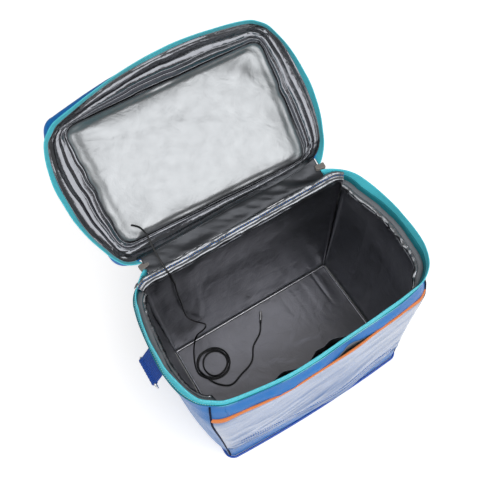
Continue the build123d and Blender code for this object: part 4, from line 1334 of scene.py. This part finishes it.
def makeGusset(wall, cuts):
    # foil gathered between the lid's sewn edge and its panel, in long pleats
    edges = wall["edges"]
    loop, run, centre, inward = panelLoop(edges, cuts)
    rimZ = lidPanel["rimZ"] - lidPanel["hingeDrop"] * plateau(edges, 3.97, 4.1, 4.9, 5.03)
    rim = wallPoints(wall, rimZ[None], sewnLine(edges) - 0.0008)[0]
    v = levels(0, 1, 60)
    corner = joined(*(rim[:, :2] * 0.6 + loop[:, :2] * 0.4).T, lidGusset["cornerZ"])
    base = rim * ((1 - v) ** 2)[..., None] + corner * (2 * v * (1 - v))[..., None] + loop * (v**2)[..., None]
    flat = joined(run, v * 0.03)
    phase = v**1.35 + 0.12 * softNoise(flat, (0.09, 0.03), 103) + 0.025 * softNoise(flat, (0.02, 0.02), 105)
    phase = np.pi * lidGusset["pleats"] * phase
    pleat = lidGusset["sharpPleat"] * np.abs(np.sin(phase))
    pleat = pleat + lidGusset["roundPleat"] * (1 - np.abs(np.cos(phase)) ** 0.7)
    pleat = pleat * (1 + 0.4 * softNoise(flat, (0.07, 0.012), 109))
    depth = along(unrolledFrom(5, edges), lidGusset["depth"])
    cornerNear = 1 - smoothStep(seamDistance(edges), 0.1, 0.7)
    crush = lidGusset["crush"] + lidGusset["cornerCrush"] * cornerNear
    push = pleat * depth + (crumple(flat, (0.011, 0.008), 107) - 0.4) * crush
    push = (push * plateau(v, 0, 0.08, 0.93, 1))[..., None]
    rows = openLid((base + (0, 0, -0.8) * push + inward * push * 0.35)[:, ::-1])
    data = sheetMesh("lidGusset", rows, lidGusset["thickness"], closed=True)
    # the gusset takes the darker copy of the foil, painted shade
    return piece("lidGusset", data, "lid", "foil", "gussetFoilPaintedShade", "lid_lining_gusset"), loop, centre


def polar(flat, spin, reach, scale):
    # turn about one centre, as a length, and distance from another; for creases that fan out
    turned, away = flat - spin, flat - reach
    return joined(np.arctan2(turned[..., 1], turned[..., 0]) * scale, np.hypot(away[..., 0], away[..., 1]))


def makePanel(gusset, loop, centre):
    # the panel bulges, with creases that fan out from two corners and a fold where the cable comes out
    share = np.concatenate([np.linspace(0, 0.985, 68), [0.997, 0.9993, 0.9999]])[:, None, None]
    rings = loop * (1 - share) + centre * share
    flat, share = rings[..., :2], share[..., 0]
    left = polar(flat, (-0.19, -0.09), (-0.16, -0.09), 0.16)
    leftFan = softNoise(left, (0.014, 0.12), 111) * bell(left[..., 1], 0.02, 0.09)
    right = polar(flat, (0.19, -0.1), (0.16, -0.08), 0.16)
    rightFan = softNoise(right, (0.03, 0.09), 113) * bell(right[..., 1], 0.01, 0.08)
    cableRun = polar(flat, (-0.17, 0.11), (-0.14, 0.08), 0.1)
    fold = bell(cableRun[..., 0], -0.057, 0.010) * bell(cableRun[..., 1], 0.0, 0.035)
    swell = lidPanel["edgeSwell"] * np.sin(np.pi / 2 * np.clip(share * 3, 0, 1))
    swell = swell + lidPanel["middleSwell"] * smoothStep(share, -0.02, 0.13)
    soft = lidPanel["soft"] * layeredNoise(flat, (0.055, 0.045), 115, 2)
    soft = soft + lidPanel["leftFan"] * leftFan + lidPanel["rightFan"] * rightFan
    lift = swell + soft * smoothStep(share, 0, 0.08) + lidPanel["edgeRoll"] * bell(share, 0.03, 0.03)
    lift = lift + lidPanel["cableFold"] * fold
    for depth, (x, y), (wideX, wideY) in lidPanel["hollows"]:
        lift = lift - depth * bell(flat[..., 0], x, wideX) * bell(flat[..., 1], y, wideY)
    rings[..., 2] -= lift
    rows = openLid(rings[:, ::-1])
    data = sheetMesh("lidPanel", rows, lidPanel["thickness"], closed=True, uvs=flat[:, ::-1])
    panel = piece("lidPanel", data, "lid", "foil", "lidFoil", "lid_lining_panel")


def makeLidLining():
    cuts = tuple(c * 2 for c in ringCuts)
    wall = makeWall(lidPattern, lidPattern, heights["rim"], heights["lidTop"], cuts)
    makePanel(*makeGusset(wall, cuts))


makeLidShell()
makeLidLining()
print("lid ready")


# cloth hinge, carrying strap and side tabs
hingeCloth = {
    "leftX": -0.1465, "rightX": 0.1450, "bodyEdge": (0.1072, 0.3030), "lidEdgeZ": 0.3072,
    "thickness": 0.0008, "fold": 0.0036, "crease": 0.003, "sag": 0.0025,
}


def makeHingeCloth():
    # from the top of the back wall to the lid's sewn edge, in loose slantwise folds
    x = np.linspace(hingeCloth["leftX"], hingeCloth["rightX"], 150)
    v = levels(0, 1, 30)
    bodyY, bodyZ = hingeCloth["bodyEdge"]
    lidZ = hingeCloth["lidEdgeZ"]
    start = joined(x, bodyY - 22 * np.maximum(np.abs(x) - 0.1385, 0) ** 2, bodyZ)
    sewn = wallPoints(lidStraight, np.array([[lidZ]]), sewnLine(lidStraight["edges"]) - 0.0012)[0]
    sewn = sewn[sewn[:, 1] > 0.09]
    sewn = sewn[np.argsort(sewn[:, 0])]
    end = openLid(joined(x, np.interp(x, sewn[:, 0], sewn[:, 1]), lidZ))
    rows = start * (1 - v)[..., None] + end * v[..., None]
    flat = joined(x, v * 0.024)
    slanted = flat @ np.array([[0.5, -0.87], [0.87, 0.5]])
    folds = hingeCloth["fold"] * layeredNoise(slanted, (0.024, 0.09), 121)
    folds = folds + hingeCloth["crease"] * creaseNoise(slanted, (0.04, 0.11), 123)
    sag = -hingeCloth["sag"] * np.sin(np.pi * v) * (0.6 + 0.4 * softNoise(flat, (0.07, 0.05), 125))
    rows[..., 2] += (folds + sag) * np.sin(np.pi * v) ** 0.7
    data = sheetMesh("hingeCloth", rows, hingeCloth["thickness"])
    thing = piece("hingeCloth", data, None, "grey_cloth", "hingeCloth", "hinge_flap")
    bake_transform(thing)


strap = {"width": 0.030, "span": 0.150, "rise": 0.030, "foot": 0.034, "thickness": 0.002, "edgeThin": 0.00006}


def makeCarryStrap():
    # an arch between two flat feet, each sewn down with a crossed square
    half, rise, foot = strap["span"] / 2, strap["rise"], strap["foot"]
    radius = (half**2 + rise**2) / (2 * rise)
    reach = math.asin(half / radius)
    turns = np.linspace(-reach, reach, 60)
    arch = np.column_stack([radius * np.sin(turns), radius * (np.cos(turns) - 1) + rise])
    feet = np.linspace(half + foot, half, 16)[:-1]
    path = np.concatenate([np.column_stack([-feet, 0 * feet]), arch, np.column_stack([feet[::-1], 0 * feet])])
    y = levels(-strap["width"] / 2, strap["width"] / 2, 14)
    z = heights["lidTop"] + strap["thickness"] + 0.0002 + path[:, 1]
    rows = openLid(joined(path[:, 0], y, z - strap["edgeThin"] * (y / (strap["width"] / 2)) ** 4))
    data = sheetMesh("carryStrap", rows, strap["thickness"])
    thing = piece("carryStrap", data, "lid", "webbing", "blueWebbing", "carry_handle")
    top = heights["lidTop"] + strap["thickness"] + 0.0004
    up = openLid((0, 0, 1.0)) - openLid((0, 0, 0.0))
    for k, sign in enumerate((-1, 1)):
        near, far, w = sign * (half + 0.006), sign * (half + foot - 0.004), strap["width"] / 2 - 0.003
        square = ((near, -w), (far, -w), (far, w), (near, w), (near, -w), (far, w), (far, -w), (near, w))
        corners = [(*corner, top) for corner in square]
        line = np.concatenate([resample(pair, 0.0012) for pair in zip(corners, corners[1:])])
        stitches = stitchMesh(f"strapStitches{k}", openLid(line), up, "strap")
        piece(f"strapStitches{k}", stitches, "lid", "webbing", "blueThread")


tab = {
    "rootX": 0.19307, "rootZ": 0.286, "drop": 52, "length": 0.030, "width": 0.040,
    "thickness": 0.0016, "half": 0.0018, "eye": 0.0039, "rib": 0.0005, "ribPitch": 0.005,
}


def makeTab(side, sign):
    # webbing folded round the ring bar: top layer, eye, lower layer
    start = math.asin(tab["half"] / tab["eye"])
    bend = tab["length"] - math.sqrt(tab["eye"] ** 2 - tab["half"] ** 2)
    flatRun = np.linspace(0.0015, bend, 18)[:-1]
    turns = np.linspace(math.pi - start, -math.pi + start, 22)
    eye = np.column_stack([tab["length"] + tab["eye"] * np.cos(turns), tab["eye"] * np.sin(turns)])
    run, rise = np.concatenate([joined(flatRun, tab["half"]), eye, joined(flatRun[::-1], -tab["half"])]).T
    drop = math.radians(tab["drop"])
    x = tab["rootX"] + run * math.cos(drop) + rise * math.sin(drop)
    z = tab["rootZ"] - run * math.sin(drop) + rise * math.cos(drop)
    y = levels(-tab["width"] / 2, tab["width"] / 2, 64)
    rows = joined(sign * x, y * sign, z)
    ribs = tab["rib"] * np.abs(np.sin(math.pi * y / tab["ribPitch"]))
    rows = rows + gridNormals(rows, False) * ribs[..., None]
    data = sheetMesh(f"strapTab{side.title()}", rows, tab["thickness"])
    thing = piece(f"strapTab{side.title()}", data, "body", "webbing", "tabWebbing", f"strap_tab_{side}")


piping = {
    "lidSeam": (0.0002, 0.3452), "lidRadius": 0.0017, "cornerRadius": 0.0014, "cornerOff": 0.0009,
    "cornerZ": (0.0125, 0.2885), "sides": 10,
}


def makeLidPiping():
    line = openLid(profilePoints(lidWall, [piping["lidSeam"]]))[0]
    data = tubeMesh("lidPiping", line[::2], piping["lidRadius"], piping["sides"], closed=True)
    piece("lidPiping", data, "lid", "piping", "navyPiping", "lid_piping")


def makeCornerPiping():
    # four cords in the upright seams; the first stands for the one CAD node of them all
    z = levels(*piping["cornerZ"], 60)
    for number in (1, 3, 5, 7):
        wall = wallPart(bodyWall, number + 0.49, number + 0.51)
        line = wallPoints(wall, z, shellOff(wall, z) + piping["cornerOff"])[:, 0]
        name, nodes = f"cornerPiping{number}", ("corner_piping",) if number == 1 else ()
        data = tubeMesh(name, line, piping["cornerRadius"], piping["sides"])
        piece(name, data, "body", "piping", "navyPiping", *nodes)


makeHingeCloth()
makeCarryStrap()
makeCornerPiping()
makeLidPiping()
for sideName, sideSign in (("left", -1), ("right", 1)):
    makeTab(sideName, sideSign)
    finish(cadNodes[f"slider_{sideName}"], "sliderEnamel")
    finish(cadNodes[f"zip_pull_{sideName}"], "sliderEnamel")
    finish(cadNodes[f"d_ring_{sideName}"], "nickelWire")
for nodeName, look in (
    ("shell_base", "coatedBlueClothPlain"),
    ("base_piping", "bluePiping"),
    # the floor welt takes the brighter copy of the foil, painted highlight
    ("floor_welt", "weltFoilPaintedHighlight"),
    ("meter_case", "caseplastic"),
    ("meter_display", "displayWindow"),
    ("meter_board", "circuitBoard"),
    ("meter_cells", "drawnSteel"),
):
    finish(cadNodes[nodeName], look)
print("trim ready")
